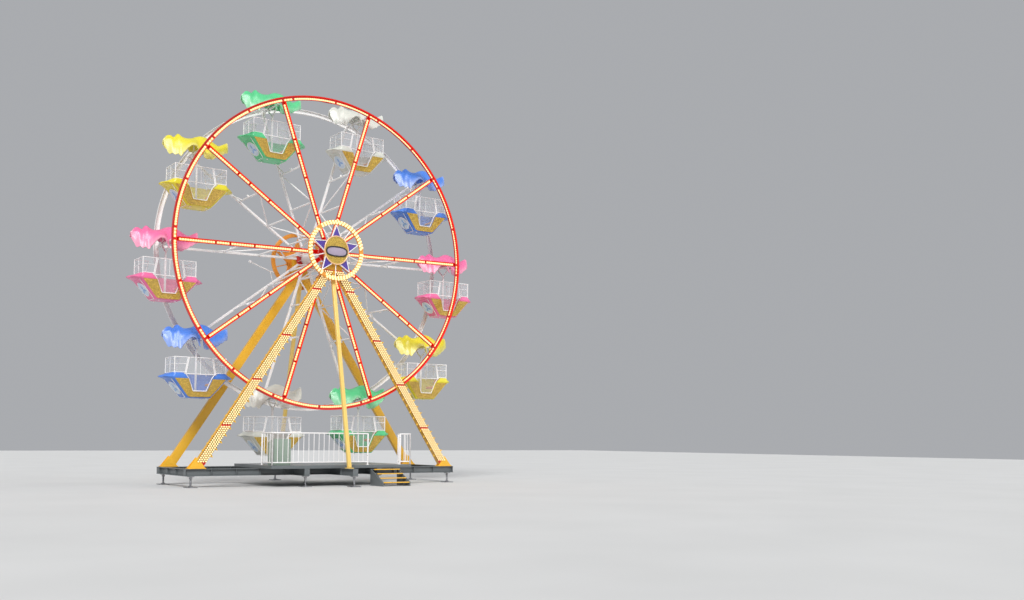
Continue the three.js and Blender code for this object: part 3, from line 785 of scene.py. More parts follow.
def combined(*meshes):
    """Several meshes as one."""
    work = bmesh.new()
    for mesh in meshes:
        work.from_mesh(mesh)
    result = bpy.data.meshes.new("combined")
    work.to_mesh(result)
    work.free()
    return smoothed(result)


def drawn_in(line, by):
    """A line of points, made shorter at both ends."""
    first = line[0] + (line[1] - line[0]).normalized() * by
    last = line[-1] + (line[-2] - line[-1]).normalized() * by
    return [first, *line[1:-1], last]


def lamp_strings(lines):
    """The holders along lines, and the caps every so often on their front."""
    strip = rounded(HOLDER_WIDE, HOLDER_THICK, HOLDER_ROUND, 1)
    holders = together(swept(line, strip, (0, 1, 0)) for line in lines)
    lift = TO_THE_FRONT * (HOLDER_THICK / 2)
    lifted = [[p + lift for p in drawn_in(line, LAMP_PITCH / 2)] for line in lines]
    return mesh_of(holders), repeated_along(lifted, lamp_cap_shape, LAMP_PITCH, warm_cap)


def arc(radius, start, end, middle, step=math.radians(1.2)):
    """Points of an arc around the axle's direction."""
    count = max(2, math.ceil(abs(end - start) / step))
    angles = [start + (end - start) * k / count for k in range(count + 1)]
    return [middle + Vector((radius * math.cos(a), 0, radius * math.sin(a))) for a in angles]


LAMP_RING = 6.012
HALF_GAP = 0.045
AIR = 0.001  # between two surfaces that would lie in one plane
LINER_STEEL, LINER_LOWER = 0.003, 0.014
floor_y = front_y + rim_wide / 2 - CHANNEL_STEEL
rim_lamps_middle = Vector((axle.x, floor_y - HOLDER_THICK / 2 - AIR, axle.z))
bay = FULL_TURN / len(pivots)
BREAKS = [math.radians(degrees) for degrees in (-4.15, 0, 14.4, 31.85)]
gap = HALF_GAP / LAMP_RING
strings = []
for angle in spoke_angles.values():
    for start, end in zip(BREAKS, BREAKS[1:]):
        strings.append(arc(LAMP_RING, angle + start + gap, angle + end - gap, rim_lamps_middle))
holders, caps = lamp_strings(strings)
# the holders carry a painted orange glow
piece("front_rim_lamp_holders", holders, holder_painted_glow, "wheel", "warm_lamp")
piece("front_rim_lamps", caps, warm_cap, "wheel", "warm_lamp")

liner_outline = channel(RIM_DEPTH - 0.03, rim_wide - LINER_LOWER, LINER_STEEL)
liner = ring_mesh(liner_outline, rim_middle, Vector((axle.x, front_y, axle.z)))
# the liner carries a painted red glow in the channel
piece("front_rim_liner", liner, red_painted_glow, "wheel", "red_lens")
print("lamps of the rim:", len(strings), "strings,", len(caps.polygons), "faces")

# %% [markdown]
# The rims come in ten lengths for the lorry. Each joint is bridged by a fish plate with four bolts, on
# the inner side where it doesn't show against the sky.

# %% Fish plates of the rims
RIM_INNER = rim_middle - RIM_DEPTH / 2
FISH_LONG, FISH_WIDE = 0.42, 0.066
FISH_FAR, FISH_NEAR = RIM_INNER - 0.016, RIM_INNER - 0.004
FISH_BOLTS = (-0.15, -0.05, 0.05, 0.15)
for name, y, paint, slot in rims:
    plates, places = Shape(), []
    for angle in spoke_angles.values():
        turn = Matrix.Translation((axle.x, y, axle.z)) @ Matrix.Rotation(-angle - bay / 2, 4, "Y")
        corner = (FISH_WIDE / 2, FISH_LONG / 2)
        low = (FISH_FAR, *(-value for value in corner))
        plates.add(block(low, (FISH_NEAR, *corner)).moved(turn))
        inward = (turn.to_3x3() @ Vector((-1, 0, 0))).normalized()
        for along in FISH_BOLTS:
            places.append((turn @ Vector((FISH_FAR, 0, along)), inward))
    mesh = combined(mesh_of(plates, 0.003), repeated_on(places, bolt, paint, 0.8))
    piece(name + "_fish_plates", mesh, paint, "wheel", slot)

# %% [markdown]
# A spoke is a flat ladder between the two planes of the wheel. Its front chord is a red channel that
# holds lamps like the rim does; its rear chord is a white box section, and round rungs and diagonals tie
# them together. Past the outer rung two short knees hold the chords apart, and the cabin's axle crosses.

# %% Spokes
CHORD_START, CHORD_END = 0.402, 5.958
CHORD_Y = 1.0
FRONT_CHORD, REAR_CHORD, CHORD_DEEP = 0.16, 0.10, 0.09
RUNG_LINES = (0.90, 2.04, 3.48)
RUNG_RADIUS, BRACE_RADIUS, AXLE_RADIUS, AXLE_HALF = 0.036, 0.028, 0.044, 0.958
KNEE_FOOT, KNEE_LONG = 0.66, 0.31
SEAT_START, SEAT_END, SEAT_INNER, SEAT_OUTER, SEAT_HALF = 5.78, 6.06, 0.8997, 0.9597, 0.05
MARKER = [(0, 0), (0.036, 0), (0.036, 0.05), (0.028, 0.072), (0.012, 0.08), (0, 0.08)]
SPOKE_STRINGS = ((0.62, 1.465), (1.535, 2.965), (3.035, 3.915), (3.985, 4.465), (4.535, 5.86))


def ladder(lean):
    """The white parts of one spoke, along +X."""
    outer = RUNG_LINES[-1]
    made = swept([(CHORD_START, CHORD_Y, 0), (CHORD_END, CHORD_Y, 0)], rounded(REAR_CHORD, CHORD_DEEP, 0.012))
    inside = CHORD_Y - CHORD_DEEP / 2
    for x in RUNG_LINES:
        made.add(rod([(x, -inside, 0), (x, inside, 0)], RUNG_RADIUS, 12))
    lines = (CHORD_START + 0.04, *RUNG_LINES)
    for k in range(3):
        side = lean * (-1 if k % 2 else 1)
        made.add(rod([(lines[k], -side * inside, 0), (lines[k + 1], side * inside, 0)], BRACE_RADIUS, 10))
    for side in (-1, 1):
        knee = [(outer, side * KNEE_FOOT, 0), (outer + KNEE_LONG, side * inside, 0)]
        made.add(rod(knee, BRACE_RADIUS, 10))
        near, far = sorted((side * SEAT_OUTER, side * SEAT_INNER))
        made.add(block((SEAT_START, near, -SEAT_HALF), (SEAT_END, far, SEAT_HALF)))
        corners = [(pivot_radius, side * 0.90), (pivot_radius, side * 0.64), (SEAT_START + 0.02, side * 0.90)]
        made.add(gusset(corners, 0.007))
    made.add(rod([(pivot_radius, -AXLE_HALF, 0), (pivot_radius, AXLE_HALF, 0)], AXLE_RADIUS, 24))
    return made.add(turned(MARKER, (outer + RUNG_RADIUS - 0.004, 0, 0), (1, 0, 0), 14))


HUB_BOLTS, OUTER_BOLTS = (0.46, 0.56), (5.62, 5.72)
REAR_BOLT_HALF, FRONT_BOLT_HALF = 0.028, 0.045


def chord_bolts():
    """Bolts through the chords' rear faces: the rear chord's at both ends, the front one's at the hub."""
    places = []
    rows = ((HUB_BOLTS + OUTER_BOLTS, CHORD_Y, REAR_BOLT_HALF), (HUB_BOLTS, -CHORD_Y, FRONT_BOLT_HALF))
    for along, y, half in rows:
        for x in along:
            for z in (-half, half):
                places.append((Vector((x, y + CHORD_DEEP / 2, z)), (0, 1, 0)))
    return repeated_on(places, bolt, white_paint)


chord_line = [(CHORD_START, -CHORD_Y, 0), (CHORD_END, -CHORD_Y, 0)]
red_channel = mesh_of(swept(chord_line, channel(FRONT_CHORD, CHORD_DEEP, 0.01), (0, 1, 0)), 0.002)
liner_outline = channel(FRONT_CHORD - 0.022, CHORD_DEEP - LINER_LOWER, LINER_STEEL)
red_liner = mesh_of(swept(chord_line, liner_outline, (0, 1, 0)))
lamp_y = -CHORD_Y + CHORD_DEEP / 2 - 0.0105 - HOLDER_THICK / 2
spoke_lines = [[Vector((a, lamp_y, 0)), Vector((b, lamp_y, 0))] for a, b in SPOKE_STRINGS]
spoke_holders, spoke_caps = lamp_strings(spoke_lines)
ladders = {lean: combined(mesh_of(ladder(lean), 0.002), chord_bolts()) for lean in (1, -1)}


def copied(mesh, matrix):
    twin = mesh.copy()
    twin.transform(matrix)
    return twin


for number, angle in spoke_angles.items():
    name = "spoke_frame_" + number
    turn = Matrix.Translation(axle) @ Matrix.Rotation(-angle, 4, "Y")
    lean = -1 if int(number) % 2 else 1
    piece(name + "_ladder", copied(ladders[lean], turn), white_paint, "wheel", "white_steel", name)
    piece(name + "_channel", copied(red_channel, turn), red_paint, "wheel", "red_steel", name)
    # the spoke's liner carries a painted red glow, and its holders a painted orange glow
    piece(name + "_liner", copied(red_liner, turn), red_painted_glow, "wheel", "red_lens")
    piece(name + "_lamp_holders", copied(spoke_holders, turn), holder_painted_glow, "wheel", "warm_lamp")
    piece(name + "_lamps", copied(spoke_caps, turn), warm_cap, "wheel", "warm_lamp")
print("a spoke's lamps:", len(spoke_caps.polygons), "faces")

# %% [markdown]
# All spokes meet on two flanged plates on the hub drum. Twenty bolts hold each flange, and short ribs
# carry its load into the drum. The shaft through it is bare steel, because paint would only burn off in
# the bearings.

# %% Hub
FLANGE_RADIUS, FLANGE_THICK, FLANGE_ROUND = 0.399, 0.09, 0.014
DRUM_RADIUS, DRUM_REACH = 0.22, 0.95
SHAFT_RADIUS, SHAFT_REACH, SHAFT_ROUND = 0.0895, 1.545, 0.012
FLANGE_BOLTS, BOLT_CIRCLE = 20, 0.33
RIB_FOOT, RIB_HIGH, RIB_LONG, RIB_HALF = 0.215, 0.37, 0.23, 0.006


def flange(y):
    half = FLANGE_THICK / 2
    edge = [(0, -half), (FLANGE_RADIUS - FLANGE_ROUND, -half), (FLANGE_RADIUS, FLANGE_ROUND - half)]
    edge += [(radius, -height) for radius, height in reversed(edge)]
    return turned(edge, axle + Vector((0, y, 0)), (0, 1, 0), 60)


def hub_ribs():
    made = Shape()
    inner = DRUM_REACH - RIB_LONG
    for k in range(len(pivots)):
        turn = Matrix.Translation(axle) @ Matrix.Rotation(bay * (k + 0.5) - spoke_angles["01"], 4, "Y")
        for side in (-1, 1):
            rib = [(RIB_FOOT, side * DRUM_REACH), (RIB_HIGH, side * DRUM_REACH), (RIB_FOOT, side * inner)]
            made.add(gusset(rib, RIB_HALF).moved(turn))
    return made


drum_edge = [(0, -DRUM_REACH), (DRUM_RADIUS, -DRUM_REACH), (DRUM_RADIUS, DRUM_REACH), (0, DRUM_REACH)]
drum = turned(drum_edge, axle, (0, 1, 0), 48)
piece("hub_drum", mesh_of(drum.add(hub_ribs()), 0.002), white_paint, "wheel", "white_steel", "hub")

flange_bolts = []
for side in (-1, 1):
    for k in range(FLANGE_BOLTS):
        angle = FULL_TURN * (k + 0.5) / FLANGE_BOLTS + spoke_angles["01"]
        outward = Vector((BOLT_CIRCLE * math.cos(angle), 0, BOLT_CIRCLE * math.sin(angle)))
        offset = outward + Vector((0, side * (CHORD_Y + FLANGE_THICK / 2), 0))
        flange_bolts.append((axle + offset, (0, side, 0)))
flange_plates = mesh_of(flange(-CHORD_Y).add(flange(CHORD_Y)))
flanges = combined(flange_plates, repeated_on(flange_bolts, bolt, red_paint, 1.2))
piece("hub_flanges", flanges, red_paint, "wheel", "red_steel", "hub")

shaft_edge = [(0, -SHAFT_REACH), (SHAFT_RADIUS - 0.0115, -SHAFT_REACH)]
shaft_edge.append((SHAFT_RADIUS, -SHAFT_REACH + SHAFT_ROUND))
shaft_edge += [(radius, -height) for radius, height in reversed(shaft_edge)]
shaft = mesh_of(turned(shaft_edge, axle, (0, 1, 0), 40))
piece("hub_shaft", shaft, bare_steel, "wheel", "grey_steel", "hub")

# %% [markdown]
# The canopies are large leaves of glass fibre that ride on the axle above each cabin. Along its length a
# leaf rises and falls between a few stations, and across its width it droops like a saddle. One smooth
# curve through the stations gives the crest and the droop, and a small ripple near the hem does the rest.

# %% Canopy
# Each station: place along the leaf, height of the crest, droop of the front hem, all from the pivot.
STATIONS = [
    (-1.27, 0.20, 0.15), (-1.13, 0.36, 0.62), (-1.01, 0.39, 0.68), (-0.88, 0.35, 0.67),
    (-0.76, 0.50, 0.86), (-0.64, 0.43, 0.66), (-0.50, 0.38, 0.42), (-0.24, 0.42, 0.38),
    (-0.08, 0.50, 0.76), (0.12, 0.56, 0.92), (0.36, 0.52, 0.88), (0.58, 0.39, 0.64),
    (0.78, 0.31, 0.43), (0.96, 0.38, 0.40), (1.14, 0.48, 0.42),
]
LEFT_END, RIGHT_END = STATIONS[0][0], STATIONS[-1][0]
REAR_SHARE = 0.5
CANOPY_COLUMNS, CANOPY_ROWS = 90, 26
CANOPY_HALF_WIDTH, CANOPY_TAPER, CANOPY_RAKE, CANOPY_THICK = 0.597, 0.62, 0.06, 0.030
SCALLOP_WIDE, SCALLOP_DEEP = 0.17, 0.045
RUFFLE_START, RUFFLE_GROWTH = -0.40, 0.35  # the leaf's left end is ruffled, from here on
RIPPLE_HIGH, WAVE_HIGH, VEIN_HIGH = 0.022, 0.012, 0.010
POST_SLOT_WIDE, POST_SLOT_TALL, POST_SLOT_ROUND = 0.118, 0.718, 0.055
POST_SLOT_MIDDLE, POST_SLOT_REACH = -0.30, 0.7
HEM_WIDE = 0.10


def through(points, x):
    """A smooth curve through points, where the first value of each is the place."""
    k = max(i for i in range(len(points) - 1) if i == 0 or points[i][0] <= x)
    before, start = points[max(0, k - 1)], points[k]
    end, after = points[k + 1], points[min(len(points) - 1, k + 2)]
    span = end[0] - start[0]
    t = (x - start[0]) / span
    values = []
    for c in range(1, len(start)):
        slope_in = (end[c] - before[c]) / (end[0] - before[0]) * span
        slope_out = (after[c] - start[c]) / (after[0] - start[0]) * span
        bend = (2 * t**3 - 3 * t**2 + 1) * start[c] + (t**3 - 2 * t**2 + t) * slope_in
        values.append(bend + (3 * t**2 - 2 * t**3) * end[c] + (t**3 - t**2) * slope_out)
    return values


def canopy_width(x):
    return CANOPY_HALF_WIDTH * (1 - CANOPY_TAPER * abs(x / RIGHT_END) ** 3)


def canopy_point(x, v):
    """A point of the leaf: x along it, and v across it from -1 at the front hem to 1."""
    crest, droop = through(STATIONS, x)
    rake = CANOPY_RAKE * max(0.0, x / RIGHT_END) ** 3 * v * v
    fall = droop * v * v * (REAR_SHARE if v > 0 else 1)
    ruffled = max(0.0, min(1.0, (RUFFLE_START - x) / RUFFLE_GROWTH))
    ripple = RIPPLE_HIGH * ruffled * math.sin(15 * v + 4 * x) + WAVE_HIGH * math.sin(28 * x) * v * v
    scallop = SCALLOP_DEEP * ruffled * abs(math.sin(math.pi * x / SCALLOP_WIDE)) * v**4
    vein = VEIN_HIGH * math.cos(9 * math.pi * v) * (1 - v * v)
    height = crest - fall + ripple + vein - scallop
    return Vector((x - rake, v * canopy_width(x), height))


def canopy_mesh():
    columns, rows = CANOPY_COLUMNS, CANOPY_ROWS
    along = [LEFT_END + (RIGHT_END - LEFT_END) * i / columns for i in range(columns + 1)]
    top = [canopy_point(x, 2 * j / rows - 1) for x in along for j in range(rows + 1)]
    grid = [(i * (rows + 1) + j, (i + 1) * (rows + 1) + j) for i in range(columns) for j in range(rows)]
    faces = [(a, b, b + 1, a + 1) for a, b in grid]
    sheet = bpy.data.meshes.new("leaf")
    sheet.from_pydata([tuple(p) for p in top], [], faces)
    holder = linked("leaf", sheet)
    wall = holder.modifiers.new("wall", "SOLIDIFY")
    wall.thickness = CANOPY_THICK
    wall.offset = 0
    path = [(0, -POST_SLOT_REACH, POST_SLOT_MIDDLE), (0, 0, POST_SLOT_MIDDLE)]
    post_slot = swept(path, rounded(POST_SLOT_WIDE, POST_SLOT_TALL, POST_SLOT_ROUND))
    solid = cut(evaluated(holder), mesh_of(post_slot))
    work = bmesh.new()
    work.from_mesh(solid)
    bmesh.ops.recalc_face_normals(work, faces=work.faces)
    # the hem attribute marks where the painted highlight along the canopy's edges lies
    hem = work.verts.layers.float.new("hem")
    for vert in work.verts:
        x = vert.co.x
        inset = min(canopy_width(x) - abs(vert.co.y), x - LEFT_END, RIGHT_END - x)
        vert[hem] = max(0.0, min(1.0, 1.2 - inset / HEM_WIDE))
    work.to_mesh(solid)
    work.free()
    return smoothed(solid, 40)


canopy_master = canopy_mesh()
colour_names = list(CABIN_COLOURS)
cabin_paint = {name: colour_names[k % len(colour_names)] for k, name in enumerate(sorted(pivots))}
for name, pivot in pivots.items():
    colour = cabin_paint[name]
    mesh = copied(canopy_master, Matrix.Translation(pivot))
    piece(name + "_canopy_leaf", mesh, gelcoats[colour], name, colour + "_fibreglass", name + "_canopy")
print("canopy:", len(canopy_master.polygons), "faces")

# %% [markdown]
# A cabin hangs from two bearings on the axle. A fork joins them to one post that runs down through the
# middle of the tub to its floor, where riders can hold on to it. Two brackets carry the canopy.

# %% Hanger
BEARING_PLACE, BEARING_HALF = 0.35, 0.044
BEARING_BORE, BEARING_RADIUS, BEARING_ROUND = 0.047, 0.075, 0.008
BRACKET_HALF, BRACKET_FOOT = 0.038, 0.0765
FORK_JOIN, FORK_RADIUS, FLOOR = -0.35, 0.028, -2.109
POST_BOLTS, POST_BOLT_CIRCLE = 6, 0.095


def bracket(side):
    """A plate from one bearing up to the underside of the leaf."""
    rings = []
    for x in (-0.016, 0.016):
        ends = [side * (BEARING_PLACE + d) for d in (-BRACKET_HALF, BRACKET_HALF)]
        tops = [Vector((x, y, canopy_point(0, y / CANOPY_HALF_WIDTH).z)) for y in reversed(ends)]
        rings.append([Vector((x, y, BRACKET_FOOT)) for y in ends] + tops)
    return lofted(rings)


def hanger_shape():
    made = Shape()
    housing = [(BEARING_BORE, -BEARING_HALF), (BEARING_RADIUS - 0.005, -BEARING_HALF)]
    housing.append((BEARING_RADIUS, BEARING_ROUND - BEARING_HALF))
    housing += [(radius, -height) for radius, height in reversed(housing)]
    for side in (-1, 1):
        y = side * BEARING_PLACE
        rings = [[Vector((a, b, h)) for a, b in circle(r, 28)] for r, h in housing]
        made.add(lofted(rings, closed=True).moved(aimed((0, y, 0), (0, 1, 0))))
        fork = [(0, y, -0.068), (0, y * 0.96, -0.14), (0, 0, FORK_JOIN - 0.03)]
        made.add(rod(fork, FORK_RADIUS, 14, (1, 0, 0)))
        made.add(bracket(side))
        made.add(block((-0.05, y - BRACKET_HALF, 0.074), (0.05, y + BRACKET_HALF, 0.086)))
    post = [(0, FLOOR), (0.13, FLOOR), (0.13, FLOOR + 0.012), (0.045, FLOOR + 0.02), (0.040, FLOOR + 0.06)]
    post += [(0.040, FORK_JOIN - 0.02), (0.052, FORK_JOIN - 0.01), (0.052, FORK_JOIN + 0.03)]
    post.append((0, FORK_JOIN + 0.04))
    return made.add(turned(post, (0, 0, 0), (0, 0, 1), 28))


hanger_bolts = []
for x, y in circle(POST_BOLT_CIRCLE, POST_BOLTS):
    hanger_bolts.append((Vector((x, y, FLOOR + 0.014)), (0, 0, 1)))
hanger_master = combined(mesh_of(hanger_shape(), 0.002), repeated_on(hanger_bolts, bolt, white_paint, 0.7))
for name, pivot in pivots.items():
    mesh = copied(hanger_master, Matrix.Translation(pivot))
    piece(name + "_hanger_tubes", mesh, white_paint, name, "white_steel", name + "_hanger")

# %% [markdown]
# The tub is a moulded shell with sloping ends. Eight corners are enough for its plan, and each corner is
# drawn round. The outer skin runs up over the rim and back down inside, so the wall is one closed form,
# and the doorway is then sawn out of it as in the factory.

# %% Tub and collar
# Each level: height from the pivot, half length, half width, and on the collar how far its nose runs.
TUB_LEVELS = [(-2.15, 0.43, 0.366), (-2.138, 0.462, 0.398), (-1.44, 1.058, 0.543)]
COLLAR_LEVELS = [
    (-1.485, 1.028, 0.533, 0.00), (-1.45, 1.062, 0.550, 0.16), (-1.405, 1.088, 0.559, 0.30),
    (-1.37, 1.080, 0.556, 0.26), (-1.31, 1.045, 0.549, 0.12), (-1.255, 1.010, 0.540, 0.03),
]
COLLAR_INSIDE_LONG, COLLAR_INSIDE_WIDE = 0.985, 0.500
END_SHARE, SIDE_SHARE = 0.80, 0.92
CORNER_ROUND = 0.05
NOSE_CORNERS = (-0.6, -0.2, 0.2, 0.6)  # where a nose starts on the end, as shares of its half width
NOSE_WAVE, NOSE_LONGEST = 0.014, 0.30
WALL = 0.036
TUB_FLOOR = -2.112
# Each level of a bench: height from the pivot, and where its front edge is.
BENCH_LEVELS = ((-1.98, 0.474), (-1.715, 0.474), (-1.70, 0.486))
DOOR_SIDE = [(0.27, -1.93), (0.34, -1.72), (0.45, -1.45), (0.70, -1.20)]
DOOR = [(-x, z) for x, z in reversed(DOOR_SIDE)] + DOOR_SIDE
DOORWAY_FRONT, DOORWAY_BACK = -0.75, -0.31


def eased(path, radius, closed=False):
    """A path whose corners are rounded."""
    corners = zip(path, path[1:], path[2:])
    if closed:
        corners = zip(path[-1:] + path[:-1], path, path[1:] + path[:1])
    made = []
    for before, corner, after in corners:
        into = corner.lerp(before, min(0.45, radius / (before - corner).length))
        out = corner.lerp(after, min(0.45, radius / (after - corner).length))
        made += [into.lerp(corner, t).lerp(corner.lerp(out, t), t) for t in (0, 1 / 3, 2 / 3, 1)]
    return made if closed else [path[0], *made, path[-1]]


def tub_ring(height, long, wide, nose=0.0):
    """One level of the tub as a closed outline; its ends may run out to a ruffled nose."""
    quarter = [(long, END_SHARE * wide), (SIDE_SHARE * long, wide)]
    corners = [Vector((x, y, height)) for x, y in quarter]
    corners += [Vector((-x, y, height)) for x, y in reversed(quarter)]
    corners += [Vector((-x, -y, height)) for x, y in quarter]
    corners += [Vector((x, -y, height)) for x, y in reversed(quarter)]
    if not nose:
        return eased(corners, CORNER_ROUND, closed=True)
    right = [Vector((long, END_SHARE * wide * v, height)) for v in NOSE_CORNERS]
    left = [Vector((-p.x, -p.y, height)) for p in right]
    outline = eased(corners[:4] + left + corners[4:] + right, CORNER_ROUND, closed=True)
    for point in outline:
        across = min(1.0, abs(point.y) / ((END_SHARE + 0.04) * wide))
        reach = (abs(point.x) / long - SIDE_SHARE - 0.01) / (0.99 - SIDE_SHARE)
        reach = max(0.0, min(1.0, reach))
        point.x += math.copysign(nose * reach * (1 - across**1.6), point.x)
        point.z += NOSE_WAVE * nose / NOSE_LONGEST * reach * math.cos(19 * point.y)
    return outline


def between(levels, height):
    """Half length and half width of the tub at a height."""
    for low, high in zip(levels, levels[1:]):
        if height <= high[0]:
            t = (height - low[0]) / (high[0] - low[0])
            return tuple(low[c] + (high[c] - low[c]) * t for c in (1, 2))
    return levels[-1][1:3]


def shell_shape():
    outer = [tub_ring(*level) for level in TUB_LEVELS]
    inner = []
    for height in (TUB_LEVELS[-1][0], TUB_FLOOR):
        long, wide = between(TUB_LEVELS, height)
        inner.append(tub_ring(height, long - WALL * 1.1, wide - WALL))
    return lofted(outer + inner)


def collar_shape():
    outer = [tub_ring(z, long, wide, nose or 0.001) for z, long, wide, nose in COLLAR_LEVELS]
    heights = COLLAR_LEVELS[-1][0], COLLAR_LEVELS[0][0]
    inner = [tub_ring(z, COLLAR_INSIDE_LONG, COLLAR_INSIDE_WIDE, 0.001) for z in heights]
    return lofted(outer + inner, closed=True)


doorway = plate(DOOR, DOORWAY_FRONT, DOORWAY_BACK)
shell_mesh = mesh_of(shell_shape(), cutter=doorway)
collar_mesh = mesh_of(collar_shape(), cutter=doorway)
print("tub:", len(shell_mesh.polygons), "collar:", len(collar_mesh.polygons), "faces")


def bench_shape(side):
    """The moulded base of one bench."""
    rings = []
    for height, front in BENCH_LEVELS:
        long, wide = between(TUB_LEVELS, height)
        long, wide = long - WALL * 1.1 - 0.004, wide - WALL - 0.004
        near = SIDE_SHARE * long
        plan = [(front, wide), (near, wide), (long, END_SHARE * wide)]
        plan += [(x, -y) for x, y in reversed(plan)]
        rings.append([Vector((side * x, y, height)) for x, y in plan])
    return lofted(rings)


benches_mesh = mesh_of(bench_shape(-1).add(bench_shape(1)), 0.006)
for name, pivot in pivots.items():
    colour = cabin_paint[name]
    place = Matrix.Translation(pivot)
    mesh = combined(copied(shell_mesh, place), copied(benches_mesh, place))
    piece(name + "_tub_shell", mesh, gelcoats[colour], name, colour + "_fibreglass", name + "_tub")
    piece(name + "_tub_collar", copied(collar_mesh, place), gelcoats[colour], name, colour + "_fibreglass")

# %% [markdown]
# Both long sides of the tub are faced with gold glitter around the doorway. The facing is a thin plate
# that lies on the sloping side, so its outline is drawn in height and length, and the tub's own levels
# say how far out each point lies. The sloping ends carry an oval badge and white piping on their edges.

# %% Gold sides, piping and badges
GOLD_PROUD = 0.018
SIDE_OUTSIDE = [
    (-0.945, -1.455), (-0.445, -2.06), (-0.385, -2.11), (0.385, -2.11), (0.445, -2.06), (0.945, -1.455),
]
SIDE_INSIDE = [(-x - 0.01, z - 0.005) for x, z in reversed(DOOR_SIDE[:3])]
SIDE_INSIDE += [(-x, z) for x, z in reversed(SIDE_INSIDE)]
SIDE_STEPS = 40
BADGE_WIDE, BADGE_TALL, BADGE_PROUD = 0.62, 0.58, 0.013
LEAF_REACH, LEAF_PLUMP, LEAF_TURNS = 0.21, 0.24, (90, 200, 320)
# The edges of an end: half width of the tub and place up the slope, at the foot and below the collar.
END_FOOT, END_HEAD = (0.402, -0.450), (0.540, 0.445)
FOOT_HALF, EDGE_INSET = 0.287, 0.035
BEAD, BADGE_BEAD = 0.011, 0.013


def evenly(path, count):
    """A path of points, walked in even steps."""
    lengths = [(b - a).length for a, b in zip(path, path[1:])]
    made = []
    for k in range(count):
        left = sum(lengths) * k / (count - 1)
        for index, length in enumerate(lengths):
            if left <= length or index == len(lengths) - 1:
                made.append(path[index].lerp(path[index + 1], min(1.0, left / length)))
                break
            left -= length
    return made


def on_side(point, side, lift):
    """A point (length, height) laid on the sloping side of the tub."""
    wide = between(TUB_LEVELS, point[1])[1]
    return Vector((point[0], side * (wide + lift), point[1]))


def gold_side(side):
    outside = evenly(eased([Vector(p) for p in SIDE_OUTSIDE], 0.10), SIDE_STEPS)
    inside = evenly(eased([Vector(p) for p in SIDE_INSIDE], 0.07), SIDE_STEPS)
    rings = []
    for far, near in zip(outside, inside):
        flat = [(far, 0.0), (far, GOLD_PROUD), (near, GOLD_PROUD), (near, 0.0)]
        rings.append([on_side(point, side, lift) for point, lift in flat])
    made = lofted(rings)
    made.add(rod([on_side(p, side, GOLD_PROUD) for p in inside], 0.012, 8, (0, 1, 0)))
    made.add(rod([on_side(p, side, GOLD_PROUD * 0.6) for p in outside], 0.009, 8, (0, 1, 0)))
    return made


def closed_side_panel():
    """The middle of the closed side, inside the gold."""
    inside = evenly(eased([Vector(p) for p in SIDE_INSIDE], 0.07), SIDE_STEPS)
    return lofted([[on_side(p, 1, lift) for p in inside] for lift in (0.0005, 0.006)])


def on_end(across, along, side, lift):
    """A point of the sloping end: metres across, metres up the slope from its middle, and off it."""
    low, high = [Vector((long, 0, height)) for height, long, wide in TUB_LEVELS[1:]]
    slope = (high - low).normalized()
    outward = Vector((slope.z, 0, -slope.x))
    spot = low.lerp(high, 0.5) + slope * along + outward * lift
    return Vector((side * spot.x, across, spot.z))


def oval(wide, tall, side, low, high, steps=40):
    rings = []
    for scale, lift in ((1.0, low), (1.0, high - 0.002), (0.96, high)):
        outline = circle(1, steps)
        rings.append([on_end(wide / 2 * scale * a, tall / 2 * scale * b, side, lift) for a, b in outline])
    return lofted(rings)


def leaf_mark(side, turn, reach):
    """A plain leaf shape on the badge."""
    half = LEAF_PLUMP * reach
    outline = [(reach * t, half * math.sin(math.pi * t)) for t in (0, 0.15, 0.35, 0.6, 0.85, 1)]
    outline += [(x, -y) for x, y in reversed(outline[1:-1])]
    c, s = math.cos(turn), math.sin(turn)
    spun = [(x * c - y * s, x * s + y * c) for x, y in outline]
    return lofted([[on_end(a, b - 0.02, side, lift) for a, b in spun] for lift in (0.0145, 0.0175)])


def piping():
    """White beads along the edges of the sloping ends and around the badges."""
    made = Shape()
    for side in (-1, 1):
        for half in (-1, 1):
            places = [(half * (END_SHARE * wide - EDGE_INSET), along) for wide, along in (END_FOOT, END_HEAD)]
            edge = [on_end(across, along, side, 0.003) for across, along in places]
            made.add(rod(edge, BEAD, 8, (0, 1, 0)))
        foot = [on_end(across, END_FOOT[1], side, 0.003) for across in (-FOOT_HALF, FOOT_HALF)]
        made.add(rod(foot, BEAD, 8, (0, 0, 1)))
        around = [on_end(BADGE_WIDE / 2 * a, BADGE_TALL / 2 * b, side, 0.012) for a, b in circle(1, 40)]
        made.add(rod(around, BADGE_BEAD, 8, (0, 1, 0), closed=True))
    return made


gold_master = mesh_of(gold_side(-1).add(gold_side(1)))
piping_master = mesh_of(piping())
badges = together(oval(BADGE_WIDE, BADGE_TALL, side, 0.001, BADGE_PROUD) for side in (-1, 1))
badge_master = mesh_of(badges)
turns = [math.radians(degrees) for degrees in LEAF_TURNS]
mark_master = mesh_of(together(leaf_mark(side, turn, LEAF_REACH) for side in (-1, 1) for turn in turns))
panel_master = mesh_of(closed_side_panel())

# %% [markdown]
# Each end of the cabin has a screen of thin white tube with clear sheet in it, bent around three sides.
# The tubes meet in mitred corners, and a rail half way up stiffens the wings. Small white feet under the
# floor keep the tub off the ground when the ride is packed.

